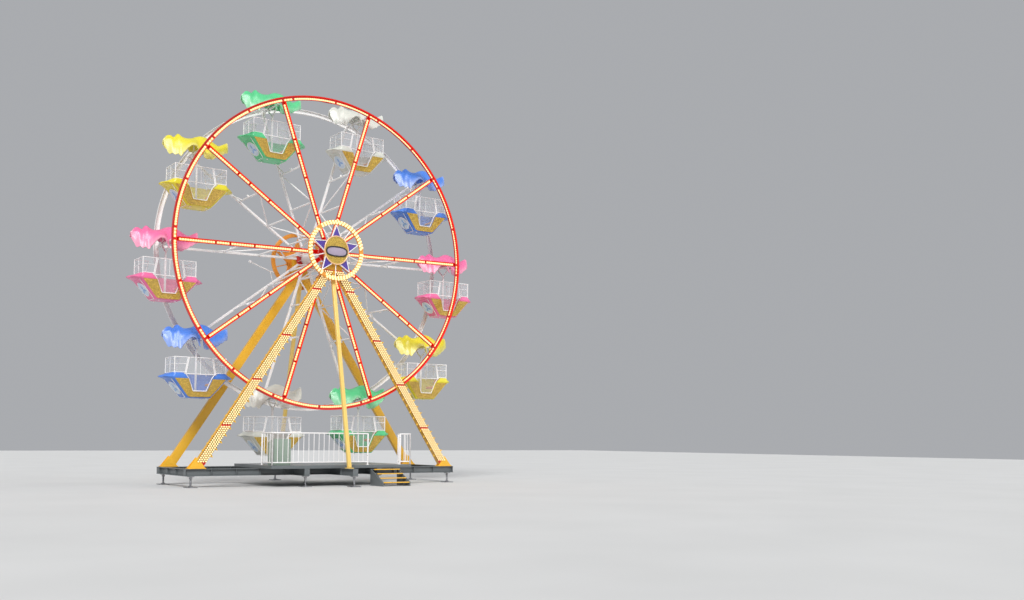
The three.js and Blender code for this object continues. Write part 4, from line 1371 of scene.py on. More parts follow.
# %% Screens and feet
TUBE = 0.017
SCREEN_END, SCREEN_SIDE, SCREEN_LOW, SCREEN_TOP = 0.958, 0.492, -1.30, -0.684
WING_LOW, WING_HIGH = 0.575, 0.465
RAIL_HEIGHT, LOW_RAIL = -0.93, -1.235
PANE_LOW, PANE_HIGH, PANE_HALF, PANE_INSET = -1.23, SCREEN_TOP - 0.008, 0.003, 0.01
FOOT = [(0, 0), (0.030, 0), (0.034, 0.012), (0.030, 0.030), (0.018, 0.040), (0, 0.040)]
FEET_ALONG, FEET_ACROSS = 0.30, 0.275


def wing_edge(height):
    """How near the middle a wing reaches at a height."""
    t = (height - SCREEN_LOW) / (SCREEN_TOP - SCREEN_LOW)
    return WING_LOW + (WING_HIGH - WING_LOW) * t


def screen_frames():
    made = Shape()
    for side in (-1, 1):
        x = side * SCREEN_END
        for height in (SCREEN_TOP, RAIL_HEIGHT, LOW_RAIL):
            near = side * wing_edge(height)
            line = [(near, -SCREEN_SIDE, height), (x, -SCREEN_SIDE, height), (x, SCREEN_SIDE, height)]
            line.append((near, SCREEN_SIDE, height))
            radius = TUBE * 0.6 if height == RAIL_HEIGHT else TUBE
            made.add(rod(line, radius, 8, (0, 0, 1)))
        for half in (-1, 1):
            y = half * SCREEN_SIDE
            made.add(rod([(x, y, SCREEN_LOW), (x, y, SCREEN_TOP + TUBE)], TUBE, 8, (1, 0, 0)))
            free = [(side * WING_LOW, y, SCREEN_LOW), (side * WING_HIGH, y, SCREEN_TOP + TUBE)]
            made.add(rod(free, TUBE, 8, (0, 1, 0)))
        made.add(rod([(x, 0, LOW_RAIL), (x, 0, SCREEN_TOP)], TUBE * 0.6, 8, (1, 0, 0)))
    return made


def screen_panes():
    made = Shape()
    for side in (-1, 1):
        x = side * SCREEN_END
        low = (x - PANE_HALF, PANE_INSET - SCREEN_SIDE, PANE_LOW)
        made.add(block(low, (x + PANE_HALF, SCREEN_SIDE - PANE_INSET, PANE_HIGH)))
        far = side * (SCREEN_END - PANE_INSET)
        near_low, near_high = side * (wing_edge(PANE_LOW) + 0.008), side * (WING_HIGH + 0.010)
        outline = [(far, PANE_LOW), (near_low, PANE_LOW), (near_high, PANE_HIGH), (far, PANE_HIGH)]
        for half in (-1, 1):
            y = half * SCREEN_SIDE
            made.add(plate(outline, y - PANE_HALF, y + PANE_HALF))
    return made


def feet():
    height = TUB_LEVELS[0][0] + 0.002
    places = [(x, y, height) for x in (-FEET_ALONG, FEET_ALONG) for y in (-FEET_ACROSS, FEET_ACROSS)]
    return together(turned(FOOT, place, (0, 0, -1), 14) for place in places)


frames_master = mesh_of(screen_frames())
panes_master = mesh_of(screen_panes())
feet_master = mesh_of(feet())

# %% [markdown]
# The way in is closed by a see-through leaf of the same tube and sheet. Above the collar it fills the
# space between the two screens, and below it follows the doorway down to the sill. Two flat halves meet
# at a rail, as the lower one leans inwards with the side. It is shown shut and moves with its cabin.

# %% Door leaf
LEAF_SIDE = [(0.425, SCREEN_TOP), (0.535, -1.29), (0.425, -1.45), (0.315, -1.72), (0.245, -1.90)]
LEAF_LEAN = 0.08


def on_leaf(x, z, off=0.0):
    """A point of the leaf, which leans inwards below its middle rail."""
    lean = LEAF_LEAN * max(0.0, LEAF_SIDE[1][1] - z)
    return Vector((x, lean - SCREEN_SIDE + off, z))


def leaf_frame():
    made = Shape()
    for hand in (-1, 1):
        stile = [on_leaf(hand * x, z) for x, z in LEAF_SIDE]
        made.add(rod(stile, TUBE, 8, (0, 1, 0)))
    for x, z in (LEAF_SIDE[0], LEAF_SIDE[1], LEAF_SIDE[-1]):
        made.add(rod([on_leaf(-x, z), on_leaf(x, z)], TUBE, 8, (0, 0, 1)))
    return made.add(rod([on_leaf(0, LEAF_SIDE[0][1]), on_leaf(0, LEAF_SIDE[1][1])], TUBE * 0.6, 8, (1, 0, 0)))


def leaf_panes():
    made = Shape()
    for half in (LEAF_SIDE[:2], LEAF_SIDE[1:]):
        outline = [(-x, z) for x, z in half] + [(x, z) for x, z in reversed(half)]
        made.add(lofted([[on_leaf(x, z, off) for x, z in outline] for off in (-PANE_HALF, PANE_HALF)]))
    return made


leaf_frame_master = mesh_of(leaf_frame())
leaf_panes_master = mesh_of(leaf_panes())
print("door leaf:", len(leaf_frame_master.polygons), "faces")

# %% [markdown]
# The bench pads are foam in vinyl, and nothing but a simulation gives the way such a pad bulges between
# its seams. One seat pad and one back pad are blown up from flat cuts with Blender's cloth, with a limit
# on how far a point may move. Then they are copied to all the benches, with a stitched channel and piping.

# %% Seat pads
PAD_VOXEL = 0.019
PAD_SWELL = 0.026
PAD_STEPS = 20
SEAT_PLAN = [(-0.17, -0.42), (0.06, -0.42), (0.17, -0.28), (0.17, 0.28), (0.06, 0.42), (-0.17, 0.42)]
BACK_PLAN = [(-0.19, -0.30), (0.19, -0.36), (0.19, 0.36), (-0.19, 0.30)]
SEAT_THICK, BACK_THICK = 0.075, 0.055
STITCH_DEEP, STITCH_WIDE = 0.016, 0.018  # the stitched channel across the middle of a pad's top
SEAM_PLACES, SEAM_RADIUS, SEAM_STEPS = (0.022, -0.022), 0.0065, 64


def blown_up(plan, thick):
    """A stuffed pad with a flat plan."""
    outline = eased([Vector((x, y, 0)) for x, y in plan], 0.05, closed=True)
    rings = [[p * 0.97 + Vector((0, 0, z)) for p in outline] for z in (-thick / 2, thick / 2)]
    pad = linked("pad", mesh_of(lofted(rings), 0.014))
    remesh = pad.modifiers.new("remesh", "REMESH")
    remesh.mode = "VOXEL"
    remesh.voxel_size = PAD_VOXEL
    pad = linked("pad", evaluated(pad))
    before = [vert.co.copy() for vert in pad.data.vertices]
    cloth = pad.modifiers.new("cloth", "CLOTH")
    cloth.settings.use_pressure = True
    cloth.settings.uniform_pressure_force = 4
    cloth.settings.effector_weights.gravity = 0
    for step in range(1, PAD_STEPS + 1):
        bpy.context.scene.frame_set(step)
    mesh = evaluated(pad)
    bpy.context.scene.frame_set(1)
    for vert, start in zip(mesh.vertices, before):
        moved = vert.co - start
        if moved.length > PAD_SWELL:
            vert.co = start + moved.normalized() * PAD_SWELL
        if vert.co.z > 0:
            vert.co.z -= STITCH_DEEP * math.exp(-((vert.co.y / STITCH_WIDE) ** 2))
    return smoothed(mesh, 60)


def seam_of(mesh, plan, height):
    """Piping that lies on the pad's side at a height."""
    tree = BVHTree.FromPolygons([v.co for v in mesh.vertices], [p.vertices for p in mesh.polygons])
    outline = eased([Vector((x, y, 0)) for x, y in plan], 0.05, closed=True)
    loop = evenly(outline + outline[:1], SEAM_STEPS + 1)[:-1]
    path = []
    for point in loop:
        start = point * 1.6 + Vector((0, 0, height))
        hit = tree.ray_cast(start, -Vector((point.x, point.y, 0)).normalized())[0]
        if hit:
            path.append(hit)
    return mesh_of(rod(path, SEAM_RADIUS, 6, (0, 0, 1), closed=True))


def pad_with_seams(plan, thick):
    pad = blown_up(plan, thick)
    return combined(pad, *(seam_of(pad, plan, height) for height in SEAM_PLACES))


seat_pad = pad_with_seams(SEAT_PLAN, SEAT_THICK)
back_pad = pad_with_seams(BACK_PLAN, BACK_THICK)
SEAT_TOP, SEAT_PLACE = -1.648, 0.64
BACK_MIDDLE, BACK_PLACE = -1.40, 0.87
BACK_LEAN = math.radians(70)
pads = []
for side in (-1, 1):
    turn = Matrix.Rotation(0 if side > 0 else math.pi, 4, "Z")
    seat = turn @ Matrix.Translation((SEAT_PLACE, 0, SEAT_TOP))
    back = turn @ Matrix.Translation((BACK_PLACE, 0, BACK_MIDDLE)) @ Matrix.Rotation(-BACK_LEAN, 4, "Y")
    pads += [copied(seat_pad, seat), copied(back_pad, back)]
pads_master = combined(*pads)
print("pads:", len(pads_master.polygons), "faces for both benches")

for name, pivot in pivots.items():
    place = Matrix.Translation(pivot)
    colour = cabin_paint[name]
    plastic = colour + "_fibreglass"
    piece(name + "_gold_sides", copied(gold_master, place), gold_glitter, name, "glitter_gold")
    piece(name + "_closed_side", copied(panel_master, place), gelcoats[colour], name, plastic)
    piece(name + "_piping", copied(piping_master, place), white_paint, name, "white_steel")
    piece(name + "_badges", copied(badge_master, place), pale_blue_gelcoat, name, "blue_fibreglass")
    piece(name + "_badge_marks", copied(mark_master, place), mark_gelcoat, name, "blue_fibreglass")
    piece(name + "_screen_frames", copied(frames_master, place), white_paint, name, "white_steel")
    piece(name + "_screen_panes", copied(panes_master, place), clear_sheet, name, "clear_sheet")
    piece(name + "_door_frame", copied(leaf_frame_master, place), white_paint, name, "white_steel")
    piece(name + "_door_panes", copied(leaf_panes_master, place), clear_sheet, name, "clear_sheet")
    piece(name + "_feet", copied(feet_master, place), white_paint, name, "white_steel")
    piece(name + "_bench_pads", copied(pads_master, place), vinyl, name, "seat_orange")

# %% [markdown]
# Two A-frames carry the shaft. Each leg is a welded box that stands on a foot plate and runs into a head
# with bolted cheeks. A thin strut leans out from the top to the end of an outrigger, so the ride can't
# tip over forwards or backwards.

# %% Towers
TOWER_Y, TOWER_DEEP, LEG_WIDE = 1.45, 0.20, 0.32
LEG_FOOT, LEG_TOP_Z, GROUND = 5.19, 8.54, 0.6603
HEAD = [(-0.35, 8.10), (0.35, 8.10), (0.35, 9.20), (0.20, 9.35), (-0.20, 9.35), (-0.35, 9.20)]
SILL_TOP = 0.66
LEG_SLOPE = LEG_FOOT / (LEG_TOP_Z - SILL_TOP)
LEG_ACROSS = LEG_WIDE / 2 * math.hypot(1, LEG_SLOPE)
CHEEK_PROUD, CHEEK_THICK = 0.006, 0.02
FOOT_PLATE, FOOT_HALF_LONG, FOOT_LIP = 0.03, 0.33, 0.03
FOOT_TOP = GROUND + FOOT_PLATE
RIB_TALL, RIB_REACH = 0.42, 0.30
STRUT_WIDE, STRUT_FOOT, STRUT_TOP_Z = 0.14, 3.1, 8.1
HEAD_ROW, HEAD_ROW_Z = (-0.27, -0.135, 0, 0.135, 0.27), 8.18
HEAD_CIRCLE, HEAD_CIRCLE_BOLTS = 0.26, 8


def leg_outline(hand, low, high, half=LEG_ACROSS):
    """A stretch of a leg between two heights, in X and Z."""
    foot, head = (hand * LEG_SLOPE * (LEG_TOP_Z - z) for z in (low, high))
    return [(foot - half, low), (foot + half, low), (head + half, high), (head - half, high)]


def tower_shape(side):
    """Two legs on ribbed foot plates, and a head of a core between two cheeks."""
    y = side * TOWER_Y
    near, far = y - TOWER_DEEP / 2, y + TOWER_DEEP / 2
    made = Shape()
    for hand in (-1, 1):
        legs = leg_outline(hand, FOOT_TOP, LEG_TOP_Z - 0.1)
        made.add(plate(legs, near + CHEEK_PROUD, far - CHEEK_PROUD))
        x = hand * LEG_FOOT
        low = (x - FOOT_HALF_LONG, near - FOOT_LIP, GROUND)
        made.add(block(low, (x + FOOT_HALF_LONG, far + FOOT_LIP, FOOT_TOP)))
        for edge in (near - AIR, far + AIR):
            rib = [(x - RIB_REACH, FOOT_TOP), (x + RIB_REACH, FOOT_TOP), (x - hand * 0.02, GROUND + RIB_TALL)]
            made.add(plate(rib, edge - 0.008, edge + 0.008))
    made.add(plate(HEAD, near + CHEEK_THICK, far - CHEEK_THICK))
    for cheek in (near, far - CHEEK_THICK):
        made.add(plate(HEAD, cheek, cheek + CHEEK_THICK))
    return made


def strut_shape(side):
    y = side * STRUT_FOOT
    foot, top = Vector((0, y, FOOT_TOP)), Vector((0, side * TOWER_Y, STRUT_TOP_Z))
    made = swept([foot, top], rounded(STRUT_WIDE, STRUT_WIDE, 0.02), (0, 1, 0))
    return made.add(block((-0.11, y - 0.15, GROUND), (0.11, y + 0.15, FOOT_TOP)))


def tower_bolts(side):
    y = side * TOWER_Y
    places = []
    for face in (-1, 1):
        out = y + face * TOWER_DEEP / 2
        spots = [(x, HEAD_ROW_Z) for x in HEAD_ROW]
        spots += [(x, axle.z + z) for x, z in circle(HEAD_CIRCLE, HEAD_CIRCLE_BOLTS)]
        places += [(Vector((x, out, z)), (0, face, 0)) for x, z in spots]
    for hand in (-1, 1):
        for dx in (-0.27, 0.27):
            for dy in (-0.09, 0.09):
                places.append((Vector((hand * LEG_FOOT + dx, y + dy, FOOT_TOP)), (0, 0, 1)))
    return repeated_on(places, bolt, yellow_paint, 1.5)


def bearing_housing(side):
    profile = [(0, 0), (0.20, 0), (0.20, 0.02), (0.165, 0.035), (0.15, 0.09), (0.12, 0.10), (0, 0.10)]
    inner = axle + Vector((0, side * (TOWER_Y - TOWER_DEEP / 2), 0))
    return turned(profile, inner, (0, -side, 0), 36)


for side, name in ((-1, "front_tower"), (1, "rear_tower")):
    mesh = combined(mesh_of(tower_shape(side), 0.006), tower_bolts(side))
    piece(name + "_steel", mesh, yellow_paint, "frame", "yellow_steel", name)
    piece(name + "_strut", mesh_of(strut_shape(side), 0.004), strut_paint, "frame", "yellow_steel", name)
    piece(name + "_bearing", mesh_of(bearing_housing(side), 0.002), chassis_paint, "frame", "grey_steel")

# %% [markdown]
# The legs at the front are dressed. Panels with four rows of lamps hang on them end to end, red shows in
# the gaps between two panels, and small flames of sheet metal stand off both edges.

# %% Lamp panels on the front legs
PANEL_FRONT = -TOWER_Y - TOWER_DEEP / 2
PANEL_OUT, PANEL_BACK = 0.030, 0.006
# Each panel: the heights of its upper and its lower end.
PANELS = ((8.18, 7.52), (7.40, 5.68), (5.56, 3.98), (3.86, 2.28), (2.16, 0.92))
LAMP_ROWS = (-0.114, -0.038, 0.038, 0.114)
SMALL_PITCH = 0.080
SMALL_CAP = [(0, 0), (0.033, 0), (0.033, 0.009), (0.025, 0.021), (0, 0.026)]
STRIP_LOW, STRIP_HIGH = 0.75, 8.25
FLAMES_LOW, FLAMES_HIGH = 0.9, 8.1
FLAME_PITCH, FLAME_FOOT, FLAME_HALF_THICK = 0.30, 0.158, 0.006
small_cap = turned(SMALL_CAP, (0, 0, 0), TO_THE_FRONT, 6)


def panel_lamps():
    lines = []
    for hand in (-1, 1):
        for high, low in PANELS:
            for row in LAMP_ROWS:
                shift = row * math.hypot(1, LEG_SLOPE)
                middles = [(hand * LEG_SLOPE * (LEG_TOP_Z - z), z) for z in (high, low)]
                lines.append([Vector((x + shift, PANEL_FRONT - PANEL_OUT, z)) for x, z in middles])
    return repeated_along(lines, small_cap, SMALL_PITCH, warm_cap)


def flames(hand, edge, high, low):
    """Small flame-shaped teeth along one edge of a leg."""
    down = Vector((hand * LEG_SLOPE, 0, -1)).normalized()
    outward = Vector((-down.z, 0, down.x)) * edge
    start = Vector((hand * LEG_SLOPE * (LEG_TOP_Z - high), PANEL_FRONT - 0.004, high)) + outward * FLAME_FOOT
    length = (high - low) * math.hypot(1, LEG_SLOPE)
    sheet = [Vector((0, y, 0)) for y in (-FLAME_HALF_THICK, FLAME_HALF_THICK)]
    made = Shape()
    for k in range(int(length / FLAME_PITCH)):
        at = start + down * (FLAME_PITCH / 2 + FLAME_PITCH * k)
        tooth = [at - down * 0.055, at + outward * 0.10 + down * 0.02, at + down * 0.045]
        made.add(lofted([[p + face for p in tooth] for face in sheet]))
    return made


panel_plates, teeth, red_strips = Shape(), Shape(), Shape()
for hand in (-1, 1):
    for high, low in PANELS:
        outline = leg_outline(hand, low, high, LEG_ACROSS * 0.94)
        panel_plates.add(plate(outline, PANEL_FRONT - PANEL_OUT, PANEL_FRONT - PANEL_BACK))
    outline = leg_outline(hand, STRIP_LOW, STRIP_HIGH, LEG_ACROSS * 0.97)
    red_strips.add(plate(outline, PANEL_FRONT - 0.005, PANEL_FRONT + CHEEK_PROUD - 0.0005))
    teeth.add(*(flames(hand, edge, FLAMES_HIGH, FLAMES_LOW) for edge in (1, -1)))
piece("front_tower_red_strips", mesh_of(red_strips), red_paint, "frame", "red_steel")
piece("front_tower_lamp_panels", mesh_of(panel_plates, 0.003), panel_paint, "frame", "yellow_steel")
piece("front_tower_flames", mesh_of(teeth), yellow_paint, "frame", "yellow_steel")
small_lamps = piece("front_tower_lamps", panel_lamps(), warm_cap, "frame", "warm_lamp")
print("small lamps:", len(small_lamps.data.polygons), "faces")

# %% [markdown]
# The ornament over the axle is the ride's jewel: a ring with two rows of fat lamps, a violet star with a
# pale outline, and a glitter disc, a little taller than wide, with an oval name plate, which is left bare
# here. The lamp rows stand half a step apart, so the ring reads as one thick beaded line. The rear ring
# is orange all over, with a glitter disc too, and has no lamps.

# %% Ornament rings
RING_Y, RING_THICK, RING_RADIUS = 1.694, 0.09, 1.09
STAR_TIP, STAR_NOTCH = 1.0, 0.43
STAR_HALF_THICK, BEAD_PLACE, STAR_BEAD = 0.022, 0.026, 0.017
ARM_ENDS, RING_ARM = (0.3, 1.02), 0.020
BAND_WIDE, BAND_ROUND = 0.166, 0.02
DISC_RADIUS, DISC_NARROW = 0.545, 0.92
DISC_BEAD, DISC_BEAD_PLACE = 0.024, 0.052
BOSS = [(0, 0), (0.21, 0), (0.21, 0.02), (0.19, 0.03), (0.19, 0.12), (0, 0.12)]
FAT_PITCH = 0.12
FAT_CAP = [(0, 0), (0.047, 0), (0.047, 0.014), (0.039, 0.032), (0.022, 0.042), (0, 0.046)]
fat_cap = turned(FAT_CAP, (0, 0, 0), TO_THE_FRONT, 10)


def star_outline(tip, notch):
    corners = [(notch if k % 2 else tip, math.radians(90 + 36 * k)) for k in range(10)]
    return [(axle.x + r * math.cos(a), axle.z + r * math.sin(a)) for r, a in corners]


def narrowed(middle):
    """The placement that makes the disc a little narrower than it is tall."""
    narrow = Matrix.Scale(DISC_NARROW, 4, (1, 0, 0))
    return Matrix.Translation(middle) @ narrow @ Matrix.Translation(-middle)


def ornament(side, prefix, band_look, star_look, trim_look):
    """One ring with its star and disc. A look is a finish and the slot it belongs to."""
    y = side * RING_Y
    middle = axle + Vector((0, y, 0))
    band_outline = rounded(BAND_WIDE, RING_THICK * 0.96, BAND_ROUND)
    band = ring_mesh(band_outline, RING_RADIUS, middle, 96)
    piece(prefix + "_band", band, band_look[0], "frame", band_look[1], prefix)
    star = plate(star_outline(STAR_TIP, STAR_NOTCH), y - STAR_HALF_THICK, y + STAR_HALF_THICK)
    piece(prefix + "_star", mesh_of(star, 0.004), star_look[0], "frame", star_look[1])
    trim = Shape()
    for face in (y - BEAD_PLACE, y + BEAD_PLACE):
        edge = [Vector((x, face, z)) for x, z in star_outline(STAR_TIP - 0.02, STAR_NOTCH - 0.005)]
        trim.add(rod(edge, STAR_BEAD, 8, (0, 1, 0), closed=True))
    for k in range(5):
        way = math.radians(54 + 72 * k)
        line = [middle + Vector((r * math.cos(way), 0, r * math.sin(way))) for r in ARM_ENDS]
        trim.add(rod(line, RING_ARM, 10, (0, 1, 0)))
    piece(prefix + "_trim", mesh_of(trim), trim_look[0], "frame", trim_look[1])
    disc = [(0, 0.02), (DISC_RADIUS - 0.02, 0.02), (DISC_RADIUS, 0.034), (DISC_RADIUS - 0.01, 0.058)]
    disc.append((0, 0.060))
    disc_mesh = mesh_of(turned(disc, middle, (0, side, 0), 64).moved(narrowed(middle)))
    piece(prefix + "_disc", disc_mesh, gold_glitter, "frame", "gold_trim")
    rim = [middle + Vector((x, side * DISC_BEAD_PLACE, z)) for x, z in circle(DISC_RADIUS, 64)]
    rim = [narrowed(middle) @ point for point in rim]
    seat = axle + Vector((0, side * (TOWER_Y + TOWER_DEEP / 2 + AIR), 0))
    disc_rim = rod(rim, DISC_BEAD, 10, (0, 1, 0), closed=True).add(turned(BOSS, seat, (0, side, 0), 32))
    piece(prefix + "_disc_rim", mesh_of(disc_rim), peach_paint, "frame", "gold_trim")


PLAQUE_WIDE, PLAQUE_TALL, PLAQUE_DROP = 0.86, 0.36, 0.05
PLAQUE_THICK, PLAQUE_BEAD = 0.018, 0.026
FULLNESS = 2.6  # an ellipse has 2


def plaque_outline(wide, tall, steps=56):
    """A long oval, a little fuller than an ellipse, just below the middle of the ring."""
    points = []
    for a, b in circle(1, steps):
        fuller = 1 / (abs(a) ** FULLNESS + abs(b) ** FULLNESS) ** (1 / FULLNESS)
        points.append((axle.x + wide / 2 * a * fuller, axle.z - PLAQUE_DROP + tall / 2 * b * fuller))
    return points


violet_look, white_look = (violet_gelcoat, "star_blue"), (white_paint, "white_steel")
orange_look = (orange_paint, "yellow_steel")
ornament(-1, "front_ring", (orange_paint, "gold_trim"), violet_look, white_look)
ornament(1, "rear_ring", orange_look, orange_look, orange_look)

ring_face = -RING_Y - RING_THICK / 2
LAMP_ROW_RADII = (1.052, 1.126)
ARCS = ((2, 130), (130, 242), (242, 362))
ARC_GAP = 6.0
lines = []
for row, radius in enumerate(LAMP_ROW_RADII):
    middle = Vector((axle.x, ring_face + 0.003, axle.z))
    half_step = row * FAT_PITCH / 2 / radius
    for start, end in ARCS:
        ends = math.radians(start + ARC_GAP) + half_step, math.radians(end - ARC_GAP)
        lines.append(arc(radius, *ends, middle))
ring_lamps = repeated_along(lines, fat_cap, FAT_PITCH, warm_cap)
piece("front_ring_lamps", ring_lamps, warm_cap, "frame", "warm_lamp")

outline = plaque_outline(PLAQUE_WIDE, PLAQUE_TALL)
plaque_back = -RING_Y - 0.060
plaque_front = plaque_back - PLAQUE_THICK
plaque = plate(outline, plaque_front, plaque_back)
piece("front_ring_plaque", mesh_of(plaque, 0.004), lilac_gelcoat, "frame", "star_blue")
edge = [Vector((x, plaque_front, z)) for x, z in outline]
plaque_edge = mesh_of(rod(edge, PLAQUE_BEAD, 8, (0, 1, 0), closed=True))
piece("front_ring_plaque_edge", plaque_edge, rubber, "frame", "black_rubber")

# %% [markdown]
# A short lamp arm stands off the rear ring to the left. It lights the loading side from behind.

# %% Lamp arm
ARM_Y = 1.70
arm = rod([(-0.95, ARM_Y, 8.45), (-1.22, ARM_Y, 8.48), (-2.05, ARM_Y, 8.78)], 0.022, 10, (0, 1, 0))
arm.add(rod([(-1.20, ARM_Y, 8.50), (-1.10, ARM_Y, 8.10), (-1.02, ARM_Y, 7.70)], 0.018, 10, (0, 1, 0)))
LAMP_HEAD = [(0, 0), (0.05, 0), (0.06, 0.05), (0.05, 0.10), (0, 0.11)]
arm.add(turned(LAMP_HEAD, (-2.02, ARM_Y, 8.77), (-0.94, 0, 0.34), 18))
piece("rear_ring_lamp_arm", mesh_of(arm), white_paint, "frame", "white_steel")

# %% [markdown]
# The whole machine stands on a frame of deep beams, levelled by eight screw jacks on steel pads. The
# jacks are real screws here: a thread is a few rings of one profile, so the lathe can make it.

# %% Base frame and jacks
BEAM_TOP, BEAM_LOW, BEAM_HALF = SILL_TOP, 0.40, 0.11
FLANGE_STEEL, WEB_INSET, STIFFENER, STIFFENER_STEP = 0.022, 0.085, 0.012, 0.9
SILL_HALF, OUTRIGGER, END_X, CROSS_X, DECK_FRONT = 5.6, 3.6, 5.49, 1.5, -2.7


def beam(x0, x1, y0, y1):
    """An I-beam of plate: two flanges and a web, with stiffeners between them."""
    made = block((x0, y0, BEAM_TOP - FLANGE_STEEL), (x1, y1, BEAM_TOP))
    made.add(block((x0, y0, BEAM_LOW), (x1, y1, BEAM_LOW + FLANGE_STEEL)))
    web_low, web_high = BEAM_LOW + FLANGE_STEEL - AIR, BEAM_TOP - FLANGE_STEEL + AIR
    along_x = x1 - x0 > y1 - y0
    inset = (0.004, WEB_INSET) if along_x else (WEB_INSET, 0.004)
    low, high = (x0 + inset[0], y0 + inset[1]), (x1 - inset[0], y1 - inset[1])
    made.add(block((*low, web_low), (*high, web_high)))
    length = (x1 - x0) if along_x else (y1 - y0)
    count = max(1, round(length / STIFFENER_STEP))
    for k in range(count + 1):
        t = 0.006 + (length - 2 * STIFFENER) * k / count
        low = (x0 + t, y0 + 0.006) if along_x else (x0 + 0.006, y0 + t)
        high = (x0 + t + STIFFENER, y1 - 0.006) if along_x else (x1 - 0.006, y0 + t + STIFFENER)
        made.add(block((*low, web_low), (*high, web_high)))
    return made


def base_shape():
    made = Shape()
    for side in (-1, 1):
        y = side * TOWER_Y
        made.add(beam(-SILL_HALF, SILL_HALF, y - BEAM_HALF, y + BEAM_HALF))
    inner = TOWER_Y - BEAM_HALF
    for x in (-END_X, END_X):
        made.add(beam(x - BEAM_HALF, x + BEAM_HALF, -inner, inner))
    for x in (-CROSS_X, CROSS_X):
        made.add(beam(x - BEAM_HALF, x + BEAM_HALF, -inner, inner))
        made.add(beam(x - BEAM_HALF, x + BEAM_HALF, DECK_FRONT, -TOWER_Y - BEAM_HALF))
    made.add(beam(-BEAM_HALF, BEAM_HALF, -inner, inner))
    made.add(beam(-BEAM_HALF, BEAM_HALF, -OUTRIGGER, -TOWER_Y - BEAM_HALF))
    made.add(beam(-BEAM_HALF, BEAM_HALF, TOWER_Y + BEAM_HALF, OUTRIGGER))
    return made


PAD_HALF, PAD_THICK = 0.19, 0.03
THREAD_ROOT, THREAD_CREST, THREAD_PITCH = 0.031, 0.038, 0.018
THREAD_LOW, THREAD_HIGH = 0.07, 0.31
JACK_NUT = [(0, 0.30), (0.060, 0.30), (0.062, 0.306), (0.062, 0.352), (0.060, 0.358), (0, 0.358)]
HEAD_PLATE_HALF, HEAD_PLATE_LOW = 0.10, 0.372


def jack(x, y):
    made = block((x - PAD_HALF, y - PAD_HALF, 0), (x + PAD_HALF, y + PAD_HALF, PAD_THICK))
    screw = [(0, PAD_THICK), (0.075, PAD_THICK), (0.075, 0.05), (0.05, 0.065)]
    z = THREAD_LOW
    while z < THREAD_HIGH:
        screw += [(THREAD_ROOT, z), (THREAD_CREST, z + 0.006)]
        screw += [(THREAD_CREST, z + 0.010), (THREAD_ROOT, z + 0.016)]
        z += THREAD_PITCH
    screw += [(THREAD_ROOT, THREAD_HIGH + 0.02), (THREAD_ROOT, BEAM_LOW), (0, BEAM_LOW)]
    made.add(turned(screw, (x, y, 0), (0, 0, 1), 20))
    made.add(turned(JACK_NUT, (x, y, 0), (0, 0, 1), 6))
    low = (x - HEAD_PLATE_HALF, y - HEAD_PLATE_HALF, HEAD_PLATE_LOW)
    return made.add(block(low, (x + HEAD_PLATE_HALF, y + HEAD_PLATE_HALF, BEAM_LOW)))


jack_places = [(sx * (END_X - 0.12), sy * TOWER_Y) for sx in (-1, 1) for sy in (-1, 1)]
jack_places += [(0, side * (OUTRIGGER - 0.11)) for side in (-1, 1)]
jack_places += [(side * CROSS_X, DECK_FRONT + 0.15) for side in (-1, 1)]
piece("base_beams", mesh_of(base_shape(), 0.003), chassis_paint, "frame", "grey_steel", "base_frame")
jacks = mesh_of(together(jack(x, y) for x, y in jack_places), 0.002)
piece("base_jacks", jacks, bare_steel, "frame", "grey_steel", "base_frame")

# %% [markdown]
# The deck is five by three panels of tread plate in a frame of edge channel. The steps hang on its front
# edge. Their treads have a bright nosing, because a rider coming down in the dark has to see the edge.

# %% Deck and steps
DECK_LOW, DECK_TOP, DECK_HALF, DECK_BACK = 0.6603, 0.78, 2.9, 0.75
EDGE_HALF, PANEL_SEAM, PANEL_THICK = 2.88, 0.006, 0.007
PANELS_ALONG, PANELS_DEEP = 5, 3
CHEEK_PLATE, NOSING_WIDE = 0.04, 0.040
STEP_X, STEPS_WIDE, STEP_COUNT, STEP_DEEP = 1.1, 1.2, 4, 0.24
RISE = DECK_TOP / (STEP_COUNT + 1)
STEPS_BACK = DECK_FRONT - 0.0003


def deck_panels():
    made = Shape()
    deep = DECK_BACK - DECK_FRONT - 0.04
    edges_x = [-EDGE_HALF + 2 * EDGE_HALF * k / PANELS_ALONG for k in range(PANELS_ALONG + 1)]
    edges_y = [DECK_FRONT + 0.02 + deep * k / PANELS_DEEP for k in range(PANELS_DEEP + 1)]
    for x0, x1 in zip(edges_x, edges_x[1:]):
        for y0, y1 in zip(edges_y, edges_y[1:]):
            low = (x0 + PANEL_SEAM / 2, y0 + PANEL_SEAM / 2, DECK_TOP - PANEL_THICK)
            made.add(block(low, (x1 - PANEL_SEAM / 2, y1 - PANEL_SEAM / 2, DECK_TOP)))
    return made


def deck_edges():
    half = EDGE_HALF - 0.01
    low = (-half, DECK_FRONT + 0.03, DECK_LOW + 0.03)
    made = block(low, (half, DECK_BACK - 0.03, DECK_TOP - PANEL_THICK - AIR))
    front, back = DECK_FRONT + 0.02, DECK_BACK - 0.02
    loop = [(-EDGE_HALF, front), (EDGE_HALF, front), (EDGE_HALF, back), (-EDGE_HALF, back)]
    path = [Vector((x, y, (DECK_LOW + DECK_TOP) / 2)) for x, y in loop]
    edge = [(b, -a) for a, b in channel(0.117, 0.038, 0.007)]
    return made.add(swept(path, edge, (0, 0, 1), closed=True))


